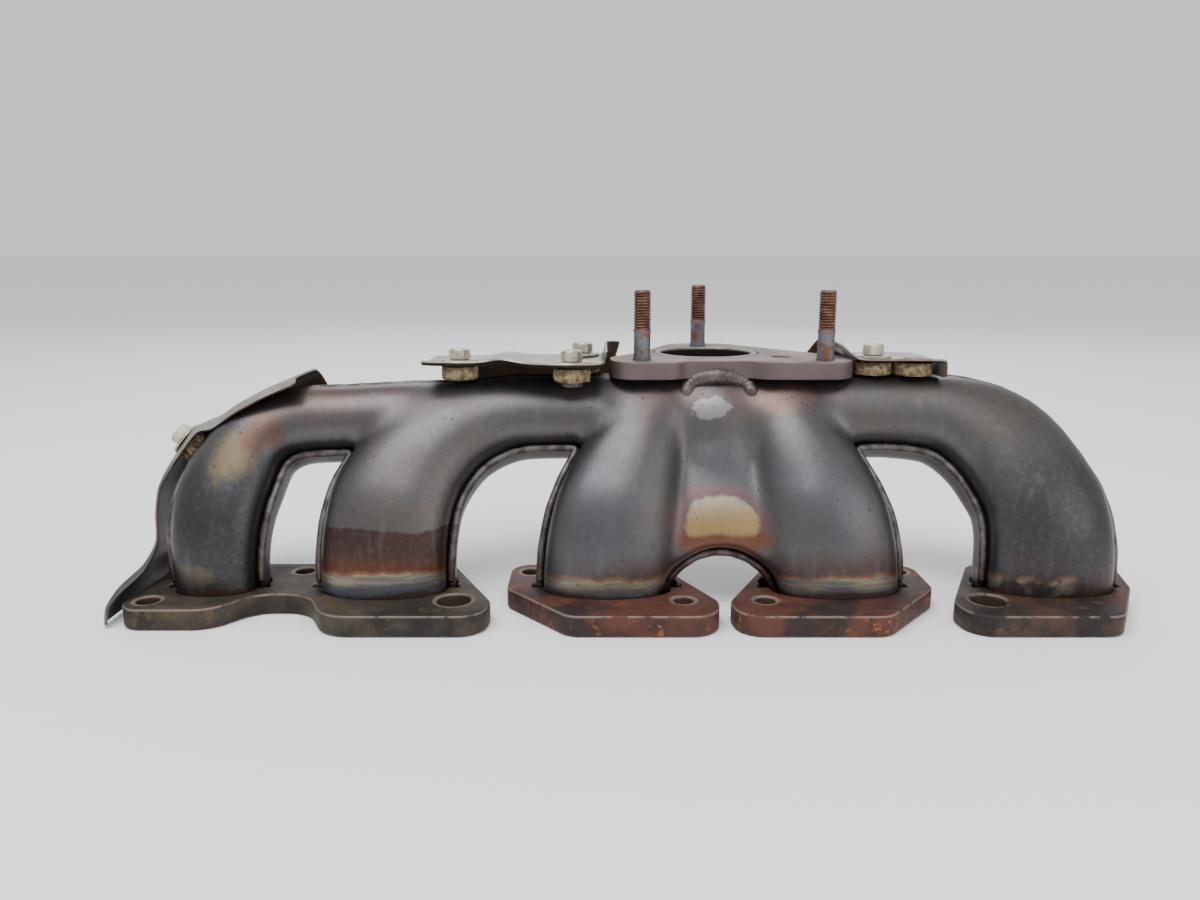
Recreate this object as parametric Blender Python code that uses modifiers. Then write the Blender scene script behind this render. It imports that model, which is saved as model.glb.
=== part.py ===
"""Exhaust manifold of a four-cylinder turbo diesel, standing on its cylinder-head flanges.

Two stamped steel half shells are welded into four wide branches, a narrow gas-recirculation
branch and a collector. They stand in laser-cut head flanges, carry the turbocharger flange
with its three studs, and hold three heat shields on knitted-wire damping pads.

Layout frame: X runs along the cylinder head, Y points away from the side that faces the
viewer in the front view, Z points away from the head joint, which is the plane Z = 0.
The plane Y = 0 cuts the five ports in half. Everything hangs on one empty that moves this
layout frame onto the part's own origin, the bottom centre of its box.
"""
import math

import bmesh
import bpy
import numpy as np
from mathutils import Matrix, Vector

# ---------------------------------------------------------------- driving dimensions (metres)
LAYOUT_TO_ORIGIN = (-0.014428, -0.035426, 0.0)
FIT = 0.0004                      # clearance left between touching pieces

# The parting surface of the shells: upright at the flanges, then it leans back.
UPRIGHT = 0.014
LEAN_RADIUS = 0.060
LEAN = math.radians(34)

SHEET = 0.0022                    # shell sheet
LAP_GAP = 0.00125                 # gap in the lap joint between the shells
WALL = 0.0045                     # the walls stand straight this far to each side of the joint
TUCK = 0.002                      # how far the front shell reaches into the rear one
RIM = 0.0010                      # how far the rear shell's rim stands in front of the joint
SHELL_FOOT = 0.002                # the shells end this far above the head joint
NET_STEP = 0.0074                 # size of the facets of the shells
BLEND = 0.010                     # radius of the valleys between ducts
ARCH_BLEND = 0.004                # radius of the edge round the arch below the web

# Centre lines of the ducts on the parting surface. Each point is: along X, up the surface,
# half width, bulge to the front, bulge to the rear.
EGR_DUCT = (
    (-0.1683, -0.012, 0.0170, 0.0140, 0.0150),
    (-0.1683, 0.012, 0.0170, 0.0140, 0.0150),
    (-0.1683, 0.034, 0.0185, 0.0155, 0.0170),
    (-0.1655, 0.053, 0.0190, 0.0160, 0.0180),
    (-0.1565, 0.074, 0.0165, 0.0160, 0.0180),
    (-0.1400, 0.084, 0.0145, 0.0150, 0.0180),
    (-0.1150, 0.086, 0.0142, 0.0150, 0.0180),
    (-0.0900, 0.0875, 0.0142, 0.0145, 0.0180),
    (-0.0740, 0.0880, 0.0140, 0.0135, 0.0175),
    (-0.0500, 0.0880, 0.0110, 0.0090, 0.0140),
)
BRANCH_2 = (
    (-0.0945, -0.012, 0.0270, 0.0178, 0.0180),
    (-0.0945, 0.014, 0.0270, 0.0178, 0.0180),
    (-0.0934, 0.033, 0.0270, 0.0185, 0.0200),
    (-0.0900, 0.050, 0.0265, 0.0190, 0.0210),
    (-0.0810, 0.066, 0.0240, 0.0190, 0.0220),
    (-0.0650, 0.080, 0.0200, 0.0180, 0.0220),
    (-0.0420, 0.0885, 0.0165, 0.0155, 0.0220),
    (-0.0150, 0.0900, 0.0160, 0.0145, 0.0220),
    (0.0150, 0.0900, 0.0160, 0.0145, 0.0220),
    (0.0510, 0.0905, 0.0160, 0.0145, 0.0240),
)
BRANCH_3 = (
    (0.0030, -0.012, 0.0275, 0.0175, 0.0180),
    (0.0030, 0.014, 0.0275, 0.0175, 0.0180),
    (0.0048, 0.033, 0.0268, 0.0185, 0.0200),
    (0.0090, 0.050, 0.0250, 0.0190, 0.0220),
    (0.0150, 0.068, 0.0215, 0.0190, 0.0230),
    (0.0210, 0.084, 0.0190, 0.0170, 0.0240),
    (0.0280, 0.0915, 0.0140, 0.0130, 0.0240),
)
MIDDLE_X = 0.0527                 # branches 3 and 4 mirror each other about this plane
BRANCH_5 = (
    (0.1970, -0.012, 0.0270, 0.0155, 0.0170),
    (0.1970, 0.014, 0.0270, 0.0155, 0.0170),
    (0.1965, 0.036, 0.0262, 0.0170, 0.0190),
    (0.1930, 0.052, 0.0255, 0.0180, 0.0200),
    (0.1810, 0.074, 0.0240, 0.0180, 0.0210),
    (0.1600, 0.0870, 0.0185, 0.0170, 0.0210),
    (0.1360, 0.0900, 0.0160, 0.0155, 0.0210),
    (0.1100, 0.0900, 0.0160, 0.0150, 0.0220),
    (0.0800, 0.0905, 0.0160, 0.0145, 0.0240),
    (0.0510, 0.0905, 0.0160, 0.0145, 0.0240),
)
WEB = (
    (MIDDLE_X, 0.028, 0.0260, 0.0078, 0.0160),
    (MIDDLE_X, 0.052, 0.0240, 0.0080, 0.0160),
    (MIDDLE_X, 0.066, 0.0200, 0.0092, 0.0200),
    (MIDDLE_X, 0.080, 0.0200, 0.0118, 0.0240),
    (MIDDLE_X, 0.093, 0.0130, 0.0105, 0.0240),
)
ARCH = (MIDDLE_X, -0.001, 0.0275)  # round opening below the web: along X, up, radius

# Turbocharger flange and the neck that carries it.
TURBO_TOP = 0.1058
TURBO_THICK = 0.008
TURBO_PORT = (0.0514, 0.0636)
PORT_RADIUS = 0.022
COLLAR_RADIUS = 0.025
NECK_RADIUS = 0.0285
NECK_FOOT = (0.0514, 0.0420, 0.0720)
NECK_FOOT_RADIUS = 0.021
NECK_TOP = 0.0949
STUDS = ((0.0190, 0.0295), (0.1020, 0.0295), (0.0505, 0.0943))
STUD_RADIUS = 0.004
STUD_TOP = 0.1368
LOCATING_HOLE = (0.0845, 0.0420, 0.0045)

# Corners of the turbocharger flange: x, y, radius of the corner.
TURBO_FLANGE = (
    (0.0055, 0.0180, 0.012),
    (0.0330, 0.0180, 0.012),
    (0.0400, 0.0245, 0.012),
    (0.0660, 0.0245, 0.012),
    (0.0740, 0.0185, 0.012),
    (0.1142, 0.0185, 0.012),
    (0.1147, 0.0440, 0.014),
    (0.0940, 0.0700, 0.060),
    (0.0660, 0.1070, 0.013),
    (0.0370, 0.1085, 0.012),
    (0.0190, 0.0620, 0.030),
    (0.0040, 0.0400, 0.014),
)

# Head flanges.
HEAD_THICK = 0.009
BOLT_HOLE = 0.0043
WIDE_BOLT_HOLE = 0.0072
SINGLE_HOLES = ((-0.0346, 0.0185), (0.0324, -0.0187))
# Corners of a single flange, from its port's centre: x, y, radius of the corner.
SINGLE_FLANGE = (
    (-0.0440, -0.0035, 0.009),
    (-0.0160, -0.0372, 0.010),
    (0.0455, -0.0372, 0.012),
    (0.0475, -0.0200, 0.010),
    (0.0243, 0.0290, 0.010),
    (-0.0440, 0.0290, 0.010),
)
END_FLANGE = (
    (-0.0365, -0.0030, 0.012),
    *SINGLE_FLANGE[1:5],
    (-0.0450, 0.0290, 0.010),
)
DOUBLE_FLANGE = (
    (-0.2015, -0.0300, 0.010),
    (-0.1620, -0.0300, 0.016),
    (-0.1480, -0.0110, 0.016),
    (-0.1260, -0.0110, 0.016),
    (-0.1130, -0.0372, 0.016),
    (-0.0480, -0.0372, 0.012),
    (-0.0460, -0.0200, 0.010),
    (-0.0692, 0.0300, 0.010),
    (-0.1980, 0.0300, 0.012),
)
DOUBLE_HOLES = (
    (-0.1915, -0.0190, 0.0048),
    (-0.0620, -0.0187, WIDE_BOLT_HOLE),
    (-0.1365, 0.0195, BOLT_HOLE),
)
NOTCH_REACH = 0.0056              # the notches beside the ports, past the front shell's edge
NOTCH_HALF = 0.0026

# Heat shields and their mounts. A pad of knitted wire stands on the shell round a threaded
# boss, and the sheet lies on the pad.
SHIELD_SHEET = 0.0009
PAD_RADIUS = 0.0083
PAD_BORE = 0.0052
PAD_HEIGHT = 0.0058
BOSS_RADIUS = 0.0047
WASHER_RADIUS = 0.0082
WASHER_HEIGHT = 0.0012
SHANK_RADIUS = 0.0030
HEX_ACROSS_FLATS = 0.0085
HEX_HEIGHT = 0.0045
RIVET_RADIUS = 0.0046
RIVET_HEIGHT = 0.0012
HOLE_ROOM = 0.0005                # radial room round a bolt's shank
FLAT = 0.0095                     # half length of the flat of a shield at a mount
SHEET_LIFT = PAD_HEIGHT + FIT + SHIELD_SHEET / 2

LEFT_AXIS = Vector((-0.78, 0.0, 0.62)).normalized()
UP_AXIS = Vector((0.0, 0.0, 1.0))
MIDDLE_PAD_FOOT = 0.0972
RIGHT_PAD_FOOT = 0.0988
# Each mount: centre of the pad's lower face, direction of the bolt's head.
MOUNTS = {
    "left": (Vector((-0.1837, 0.0300, 0.0643)), LEFT_AXIS),
    "middle_a": (Vector((-0.0635, 0.0300, MIDDLE_PAD_FOOT)), UP_AXIS),
    "middle_b": (Vector((-0.0125, 0.0210, MIDDLE_PAD_FOOT)), UP_AXIS),
    "middle_c": (Vector((-0.0085, 0.0590, MIDDLE_PAD_FOOT)), UP_AXIS),
    "right_a": (Vector((0.1248, 0.0340, RIGHT_PAD_FOOT)), UP_AXIS),
    "right_b": (Vector((0.1424, 0.0310, RIGHT_PAD_FOOT)), UP_AXIS),
}
LEFT_SEAT = MOUNTS["left"][0] + LEFT_AXIS * SHEET_LIFT
LEFT_RUN = Vector((-LEFT_AXIS.z, 0.0, LEFT_AXIS.x))
MIDDLE_SHEET = MIDDLE_PAD_FOOT + SHEET_LIFT
RIGHT_SHEET = RIGHT_PAD_FOOT + SHEET_LIFT

# Sections of the shields along X. Each is: x, z, outward direction (x, z), near edge y, far
# edge y, depth of the skirt behind.
LEFT_SHIELD = (
    (-0.1350, 0.0993, (-0.40, 1.0), 0.015, 0.056, 0.016),
    (-0.1500, 0.0930, (-0.50, 1.0), 0.015, 0.056, 0.016),
    (-0.1630, 0.0862, (-0.60, 1.0), 0.015, 0.056, 0.016),
    (-0.1745, 0.0785, (-0.70, 1.0), 0.017, 0.056, 0.015),
    (*(LEFT_SEAT - LEFT_RUN * FLAT).xz, LEFT_AXIS.xz, 0.019, 0.055, 0.014),
    (*(LEFT_SEAT + LEFT_RUN * FLAT).xz, LEFT_AXIS.xz, 0.019, 0.052, 0.012),
    (-0.1990, 0.0500, (-1.0, 0.15), 0.012, 0.050, 0.010),
    (-0.2000, 0.0385, (-1.0, 0.00), 0.009, 0.048, 0.010),
    (-0.1985, 0.0270, (-1.0, 0.00), 0.004, 0.046, 0.010),
    (-0.2005, 0.0190, (-0.8, 0.60), -0.006, 0.044, 0.008),
    (-0.2060, 0.0130, (-0.8, 0.60), -0.018, 0.042, 0.006),
    (-0.2085, 0.0070, (-1.0, 0.20), -0.025, 0.040, 0.005),
    (-0.2085, 0.0010, (-1.0, 0.00), -0.027, 0.040, 0.004),
)
MIDDLE_SHIELD = (
    (-0.0790, 0.1040, (-0.1, 1.0), 0.019, 0.070, 0.012),
    (-0.0735, MIDDLE_SHEET, (0.0, 1.0), 0.018, 0.072, 0.016),
    (-0.0535, MIDDLE_SHEET, (0.0, 1.0), 0.018, 0.074, 0.018),
    (-0.0440, 0.1055, (0.1, 1.0), 0.016, 0.076, 0.020),
    (-0.0330, 0.1040, (0.1, 1.0), 0.013, 0.077, 0.020),
    (-0.0230, MIDDLE_SHEET, (0.0, 1.0), 0.010, 0.078, 0.020),
    (0.0000, MIDDLE_SHEET, (0.0, 1.0), 0.010, 0.078, 0.020),
    (0.0020, 0.1068, (-0.9, 0.5), 0.012, 0.078, 0.004),
    (0.0028, 0.1105, (-1.0, 0.1), 0.014, 0.076, 0.003),
)
RIGHT_SHIELD = (
    (0.1075, 0.1125, (0.6, 1.0), 0.046, 0.072, 0.010),
    (0.1120, 0.1100, (0.6, 1.0), 0.040, 0.072, 0.014),
    (0.1163, RIGHT_SHEET, (0.0, 1.0), 0.024, 0.072, 0.018),
    (0.1340, RIGHT_SHEET, (0.0, 1.0), 0.022, 0.072, 0.018),
    (0.1515, RIGHT_SHEET, (0.0, 1.0), 0.020, 0.068, 0.018),
    (0.1530, 0.1040, (0.7, 0.7), 0.021, 0.067, 0.012),
    (0.1535, 0.0985, (1.0, 0.0), 0.023, 0.066, 0.003),
)

NODES = bpy.data.collections.new("exhaust_manifold")
CUTTERS = bpy.data.collections.new("cutters")


# ---------------------------------------------------------------- shape of the shells
def parting(up):
    """Y, Z and lean of the parting surface, at a distance measured up along it."""
    turn = np.clip((up - UPRIGHT) / LEAN_RADIUS, 0.0, LEAN)
    past = np.maximum(up - UPRIGHT - LEAN_RADIUS * LEAN, 0.0)
    back = LEAN_RADIUS * (1 - np.cos(turn)) + past * math.sin(LEAN)
    high = np.minimum(up, UPRIGHT) + LEAN_RADIUS * np.sin(turn) + past * math.cos(LEAN)
    return back, high, turn


def to_layout(points):
    """Points (along X, up the parting surface, bulge to the front) in the layout frame."""
    back, high, turn = parting(points[:, 1])
    bulge = points[:, 2]
    return np.stack([points[:, 0], back - bulge * np.cos(turn), high + bulge * np.sin(turn)], 1)


def smooth_path(points, per_span=5):
    """A Catmull-Rom curve through a duct's points, with its sizes."""
    keys = np.array(points)
    keys = np.vstack([2 * keys[0] - keys[1], keys, 2 * keys[-1] - keys[-2]])
    path = []
    for a, b, c, d in zip(keys, keys[1:], keys[2:], keys[3:]):
        for t in np.arange(per_span) / per_span:
            path.append(0.5 * (2 * b + (c - a) * t + (2 * a - 5 * b + 4 * c - d) * t ** 2
                               + (3 * b - a - 3 * c + d) * t ** 3))
    path.append(keys[-2])
    return np.array(path)


def duct_field(points, path):
    """Signed distance, nearly, to a duct of elliptic section along a path."""
    best = np.full(len(points), np.inf)
    for a, b in zip(path, path[1:]):
        run = b[:2] - a[:2]
        t = np.clip(((points[:, :2] - a[:2]) @ run) / (run @ run), 0.0, 1.0)
        aside = np.hypot(*(points[:, :2] - a[:2] - t[:, None] * run).T)
        width = a[2] + t * (b[2] - a[2])
        front = a[3] + t * (b[3] - a[3])
        rear = a[4] + t * (b[4] - a[4])
        depth = np.where(points[:, 2] > 0, front, rear) - WALL
        height = np.maximum(np.abs(points[:, 2]) - WALL, 0.0)
        size = np.hypot(aside / width, height / depth) + 1e-9
        slope = np.hypot(aside / width ** 2, height / depth ** 2) / size + 1e-9
        best = np.minimum(best, (size - 1) / slope)
    return best


def neck_field(points):
    """Signed distance to the neck below the turbocharger flange."""
    place = to_layout(points)
    foot = np.array(NECK_FOOT)
    mouth = np.array((*TURBO_PORT, NECK_TOP))
    chimney = np.array((*TURBO_PORT, NECK_TOP + 0.05))
    best = np.full(len(points), np.inf)
    spans = ((foot, mouth, NECK_FOOT_RADIUS, NECK_RADIUS), (mouth, chimney, NECK_RADIUS, NECK_RADIUS))
    for a, b, wide_a, wide_b in spans:
        run = b - a
        t = np.clip(((place - a) @ run) / (run @ run), 0.0, 1.0)
        away = np.linalg.norm(place - a - t[:, None] * run, axis=1)
        best = np.minimum(best, away - wide_a - t * (wide_b - wide_a))
    return best


def smooth_union(a, b, radius):
    """The smaller of two distances, with a fillet where they are close."""
    mix = np.maximum(radius - np.abs(a - b), 0.0) / radius
    return np.minimum(a, b) - mix ** 2 * radius / 4


def mirror_middle(points):
    return tuple((2 * MIDDLE_X - x, *rest) for x, *rest in points)


DUCTS = [smooth_path(duct) for duct in (EGR_DUCT, BRANCH_2, BRANCH_3, mirror_middle(BRANCH_3),
                                        BRANCH_5, WEB)]


def body_field(points):
    """Signed distance to the outside of the front shell, negative inside."""
    total = duct_field(points, DUCTS[0])
    for path in DUCTS[1:]:
        total = smooth_union(total, duct_field(points, path), BLEND)
    total = smooth_union(total, neck_field(points), BLEND)
    arch = np.hypot(points[:, 0] - ARCH[0], points[:, 1] - ARCH[1]) - ARCH[2]
    return -smooth_union(-total, arch, ARCH_BLEND)


def from_layout(places):
    """The inverse of to_layout."""
    x, y, z = places.T
    high = z - UPRIGHT
    angle = np.arctan2(high, LEAN_RADIUS - y)
    bent_up = UPRIGHT + LEAN_RADIUS * angle
    bent_out = np.hypot(LEAN_RADIUS - y, high) - LEAN_RADIUS
    back = y - LEAN_RADIUS * (1 - math.cos(LEAN))
    rise = high - LEAN_RADIUS * math.sin(LEAN)
    lean_up = UPRIGHT + LEAN_RADIUS * LEAN + back * math.sin(LEAN) + rise * math.cos(LEAN)
    lean_out = rise * math.sin(LEAN) - back * math.cos(LEAN)
    up = np.where(high < 0, z, np.where(angle < LEAN, bent_up, lean_up))
    out = np.where(high < 0, -y, np.where(angle < LEAN, bent_out, lean_out))
    return np.stack([x, up, out], 1)


def skin_distance(places):
    """Distance from places in the layout frame to the outside of the welded shells."""
    points = from_layout(places)
    rear_skin = np.where(points[:, 2] < RIM, LAP_GAP + SHEET, 0.0)
    return body_field(points) - rear_skin


def gap_below(frame, radius):
    """How far a round foot of this radius can reach down before it meets the shells."""
    turns = np.arange(12) * math.pi / 6
    rings = [Vector((r * math.cos(t), r * math.sin(t), 0)) for r in (0, radius / 2, radius) for t in turns]
    places = np.array([frame @ p for p in rings])
    down = -np.array(frame.to_3x3().col[2])
    reach = np.zeros(len(places))
    for _ in range(60):
        reach += 0.5 * np.clip(skin_distance(places + reach[:, None] * down), -0.001, 0.002)
    return reach.min()


def surface_net(field, low, high, step, fixed):
    """Quads on the zero surface of a field. fixed maps (axis, cell) to a coordinate, for the
    rows of cells whose points are held on a plane, so that the edge there is clean."""
    counts = [int(round((b - a) / step)) + 1 for a, b in zip(low, high)]
    axes = [a + step * np.arange(n) for a, n in zip(low, counts)]
    grid = np.stack(np.meshgrid(*axes, indexing="ij"), -1)
    values = field(grid.reshape(-1, 3)).reshape(counts)
    cells = tuple(n - 1 for n in counts)
    total = np.zeros((*cells, 3))
    hits = np.zeros(cells)
    for axis in range(3):
        others = [k for k in range(3) if k != axis]
        for corner in ((0, 0), (0, 1), (1, 0), (1, 1)):
            start = [0, 0, 0]
            start[others[0]], start[others[1]] = corner
            near = tuple(slice(s, s + n) for s, n in zip(start, cells))
            start[axis] = 1
            far = tuple(slice(s, s + n) for s, n in zip(start, cells))
            a, b = values[near], values[far]
            crossed = (a < 0) != (b < 0)
            part = np.where(crossed, a / np.where(crossed, a - b, 1), 0)
            total += np.where(crossed[..., None], grid[near] + part[..., None] * (grid[far] - grid[near]), 0)
            hits += crossed
    used = hits > 0
    index = np.full(cells, -1)
    index[used] = np.arange(used.sum())
    points = total[used] / hits[used][:, None]
    cell_of = np.argwhere(used)
    held = np.zeros((len(points), 3), bool)
    for (axis, cell), value in fixed.items():
        rows = cell_of[:, axis] == cell % cells[axis]
        points[rows, axis] = value
        held[rows, axis] = True
    quads = []
    for axis in range(3):
        b, c = [k for k in range(3) if k != axis]
        inner = [slice(0, n) for n in cells]
        inner[b] = slice(1, cells[b])
        inner[c] = slice(1, cells[c])
        ahead = list(inner)
        ahead[axis] = slice(1, cells[axis] + 1)
        rising = values[tuple(inner)] < 0
        crossed = rising != (values[tuple(ahead)] < 0)
        for place in np.argwhere(crossed):
            cell = place.copy()
            cell[b] += 1
            cell[c] += 1
            ring = []
            for db, dc in ((1, 1), (0, 1), (0, 0), (1, 0)):
                corner = cell.copy()
                corner[b] -= db
                corner[c] -= dc
                ring.append(index[tuple(corner)])
            if min(ring) < 0 or held[ring].all(axis=0).any():
                continue
            outward = rising[tuple(place)] != (axis == 1)
            quads.append(ring if outward else ring[::-1])
    return settle(field, points, np.array(quads), held, step), quads


def settle(field, points, quads, held, step, rounds=20):
    """Even out a net and lay it on the zero surface. A point held on a plane slides in it."""
    pairs = np.concatenate([quads[:, [k, (k + 1) % 4]] for k in range(4)])
    pairs = np.concatenate([pairs, pairs[:, ::-1]])
    pairs = pairs[~(held[pairs[:, 0]] & ~held[pairs[:, 1]]).any(axis=1)]
    share = np.maximum(np.bincount(pairs[:, 0], minlength=len(points)), 1)[:, None]
    for turn in range(rounds):
        if turn < rounds - 2:
            pull = np.zeros_like(points)
            np.add.at(pull, pairs[:, 0], points[pairs[:, 1]] - points[pairs[:, 0]])
            pull[held] = 0
            points = points + 0.5 * pull / share
        here = field(points)
        slope = np.empty_like(points)
        for axis in range(3):
            nudge = np.zeros(3)
            nudge[axis] = 1e-5
            slope[:, axis] = (field(points + nudge) - here) / 1e-5
        slope[held] = 0
        move = here[:, None] * slope / (np.sum(slope ** 2, axis=1)[:, None] + 1e-9)
        points = points - np.clip(move, -step / 3, step / 3)
    return points


def half_shell(name, material, rear):
    """One stamped half: an open net on the parting side, thickened by Solidify."""
    if rear:
        low = (-0.2200, SHELL_FOOT - NET_STEP / 2, RIM + NET_STEP / 2 - 10 * NET_STEP)
        high = (0.2500, 0.1440, RIM + NET_STEP / 2)
        fixed = {(2, -1): RIM, (1, 0): SHELL_FOOT}
        offset = LAP_GAP
    else:
        low = (-0.2200, SHELL_FOOT - NET_STEP / 2, -TUCK - NET_STEP / 2)
        high = (0.2500, 0.1440, -TUCK - NET_STEP / 2 + 5 * NET_STEP)
        fixed = {(2, 0): -TUCK, (1, 0): SHELL_FOOT}
        offset = 0.0
    points, quads = surface_net(lambda p: body_field(p) - offset, low, high, NET_STEP, fixed)
    bm = bmesh.new()
    verts = [bm.verts.new(p) for p in to_layout(points)]
    for quad in quads:
        bm.faces.new([verts[k] for k in quad])
    bmesh.ops.delete(bm, geom=[v for v in bm.verts if not v.link_faces], context="VERTS")
    mesh = bpy.data.meshes.new(name)
    bm.to_mesh(mesh)
    bm.free()
    shell = add_node(name, mesh, material)
    solid = shell.modifiers.new("sheet", "SOLIDIFY")
    solid.thickness = SHEET
    solid.offset = 1.0 if rear else -1.0
    solid.use_even_offset = True
    return shell


# ---------------------------------------------------------------- helpers for plain pieces
def steel(name, colour, roughness, metallic=0.9):
    material = bpy.data.materials.new(name)
    material.use_nodes = True
    shader = material.node_tree.nodes["Principled BSDF"]
    shader.inputs["Base Color"].default_value = (*colour, 1.0)
    shader.inputs["Roughness"].default_value = roughness
    shader.inputs["Metallic"].default_value = metallic
    return material


def add_node(name, mesh, material, matrix=None):
    mesh.name = name
    obj = bpy.data.objects.new(name, mesh)
    mesh.materials.clear()
    mesh.materials.append(material)
    NODES.objects.link(obj)
    obj.parent = LAYOUT
    if matrix is not None:
        obj.matrix_basis = matrix
    return obj


def bmesh_mesh(bm):
    mesh = bpy.data.meshes.new("shape")
    bm.to_mesh(mesh)
    bm.free()
    return mesh


def cylinder_mesh(radius, bottom, top, segments=24):
    bm = bmesh.new()
    lift = Matrix.Translation((0, 0, (bottom + top) / 2))
    bmesh.ops.create_cone(bm, cap_ends=True, segments=segments, radius1=radius, radius2=radius,
                          depth=top - bottom, matrix=lift)
    return bmesh_mesh(bm)


def prism_mesh(outline, height):
    """A closed outline in the plane Z = 0, drawn up to a height."""
    bm = bmesh.new()
    base = bm.faces.new([bm.verts.new((p.x, p.y, 0)) for p in outline])
    drawn = bmesh.ops.extrude_face_region(bm, geom=[base])
    tops = [v for v in drawn["geom"] if isinstance(v, bmesh.types.BMVert)]
    bmesh.ops.translate(bm, verts=tops, vec=(0, 0, height))
    bmesh.ops.recalc_face_normals(bm, faces=bm.faces)
    return bmesh_mesh(bm)


def cut(obj, cutter_mesh, matrix=None, operation="DIFFERENCE"):
    """Cut or join a node with a shape placed in the node's own frame."""
    cutter = bpy.data.objects.new(obj.name + "_cutter", cutter_mesh)
    CUTTERS.objects.link(cutter)
    cutter.parent = LAYOUT
    cutter.matrix_basis = obj.matrix_basis @ (matrix or Matrix())
    cutter.hide_render = True
    cutter.display_type = "WIRE"
    boolean = obj.modifiers.new("cut", "BOOLEAN")
    boolean.operation = operation
    boolean.solver = "EXACT"
    boolean.object = cutter
    return boolean


def smooth(obj, degrees=35):
    obj.data.shade_smooth()
    obj.data.set_sharp_from_angle(angle=math.radians(degrees))


def rounded(corners, step=math.radians(18)):
    """A closed outline through corners (x, y, radius), each turned into an arc."""
    outline = []
    for k, (x, y, radius) in enumerate(corners):
        here = Vector((x, y))
        back = (Vector(corners[k - 1][:2]) - here).normalized()
        ahead = (Vector(corners[(k + 1) % len(corners)][:2]) - here).normalized()
        half = back.angle(ahead) / 2
        centre = here + (back + ahead).normalized() * (radius / math.sin(half))
        first = here + back * (radius / math.tan(half)) - centre
        last = here + ahead * (radius / math.tan(half)) - centre
        sweep = first.angle_signed(last)
        count = max(2, math.ceil(abs(sweep) / step))
        for n in range(count + 1):
            spoke = first.copy()
            spoke.rotate(Matrix.Rotation(-sweep * n / count, 2))
            outline.append(centre + spoke)
    return outline


def circle(x, y, radius, segments=20):
    turns = [2 * math.pi * n / segments for n in range(segments)]
    return [Vector((x + radius * math.cos(t), y + radius * math.sin(t))) for t in turns]


def half_oval(x, y, wide, deep, start, count=18):
    """Half an ellipse about (x, y), from the angle start, turning to the left."""
    turns = [start + math.pi * n / count for n in range(count + 1)]
    return [Vector((x + wide * math.cos(t), y + deep * math.sin(t))) for t in turns]


def port_outline(x, duct):
    """The opening that takes a branch: front half, rear half and a notch at each side."""
    wide, front, rear = duct[0][2:]
    grow = SHEET + LAP_GAP + 1.5 * FIT
    back = half_oval(x, WALL, wide + grow, rear - WALL + grow, 0.0)
    fore = half_oval(x, -WALL, wide + FIT, front - WALL + FIT, math.pi)
    steps = ((wide + grow, NOTCH_HALF), (wide + NOTCH_REACH, NOTCH_HALF),
             (wide + NOTCH_REACH, -NOTCH_HALF), (wide + FIT, -NOTCH_HALF))
    left = [Vector((x - reach, y)) for reach, y in steps]
    right = [Vector((x + reach, y)) for reach, y in reversed(steps)]
    return back + left + fore + right


def plate(name, outlines, bottom, thickness, material):
    """A flat plate: its outline and its openings as one filled 2D curve."""
    curve = bpy.data.curves.new(name, "CURVE")
    curve.dimensions = "2D"
    curve.fill_mode = "BOTH"
    curve.extrude = thickness / 2
    for outline in outlines:
        spline = curve.splines.new("POLY")
        spline.points.add(len(outline) - 1)
        for point, place in zip(spline.points, outline):
            point.co = (place.x, place.y, 0, 1)
        spline.use_cyclic_u = True
    carrier = bpy.data.objects.new(name, curve)
    bpy.context.scene.collection.objects.link(carrier)
    evaluated = carrier.evaluated_get(bpy.context.evaluated_depsgraph_get())
    mesh = bpy.data.meshes.new_from_object(evaluated)
    bpy.data.objects.remove(carrier)
    bpy.data.curves.remove(curve)
    bm = bmesh.new()
    bm.from_mesh(mesh)
    bmesh.ops.remove_doubles(bm, verts=bm.verts, dist=1e-5)
    bmesh.ops.recalc_face_normals(bm, faces=bm.faces)
    bm.to_mesh(mesh)
    bm.free()
    return add_node(name, mesh, material, Matrix.Translation((0, 0, bottom + thickness / 2)))


def ring_mesh(outer, inner, bottom, top, segments=20):
    """A turned ring: its section spun round the Z axis by a Screw modifier."""
    section = [(outer, top), (outer, bottom), (inner, bottom), (inner, top)]
    mesh = bpy.data.meshes.new("section")
    edges = [(k, (k + 1) % 4) for k in range(4)]
    mesh.from_pydata([(x, 0, z) for x, z in section], edges, [])
    carrier = bpy.data.objects.new("section", mesh)
    bpy.context.scene.collection.objects.link(carrier)
    screw = carrier.modifiers.new("turn", "SCREW")
    screw.steps = segments
    screw.render_steps = segments
    screw.use_merge_vertices = True
    screw.merge_threshold = 0.00005
    evaluated = carrier.evaluated_get(bpy.context.evaluated_depsgraph_get())
    turned = bpy.data.meshes.new_from_object(evaluated)
    bpy.data.objects.remove(carrier)
    bm = bmesh.new()
    bm.from_mesh(turned)
    bmesh.ops.recalc_face_normals(bm, faces=bm.faces)
    bm.to_mesh(turned)
    bm.free()
    return turned


def aim(place, axis):
    """A frame at a place whose Z axis points along the axis."""
    turn = Vector(axis).normalized().to_track_quat("Z", "Y")
    return Matrix.Translation(place) @ turn.to_matrix().to_4x4()


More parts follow.
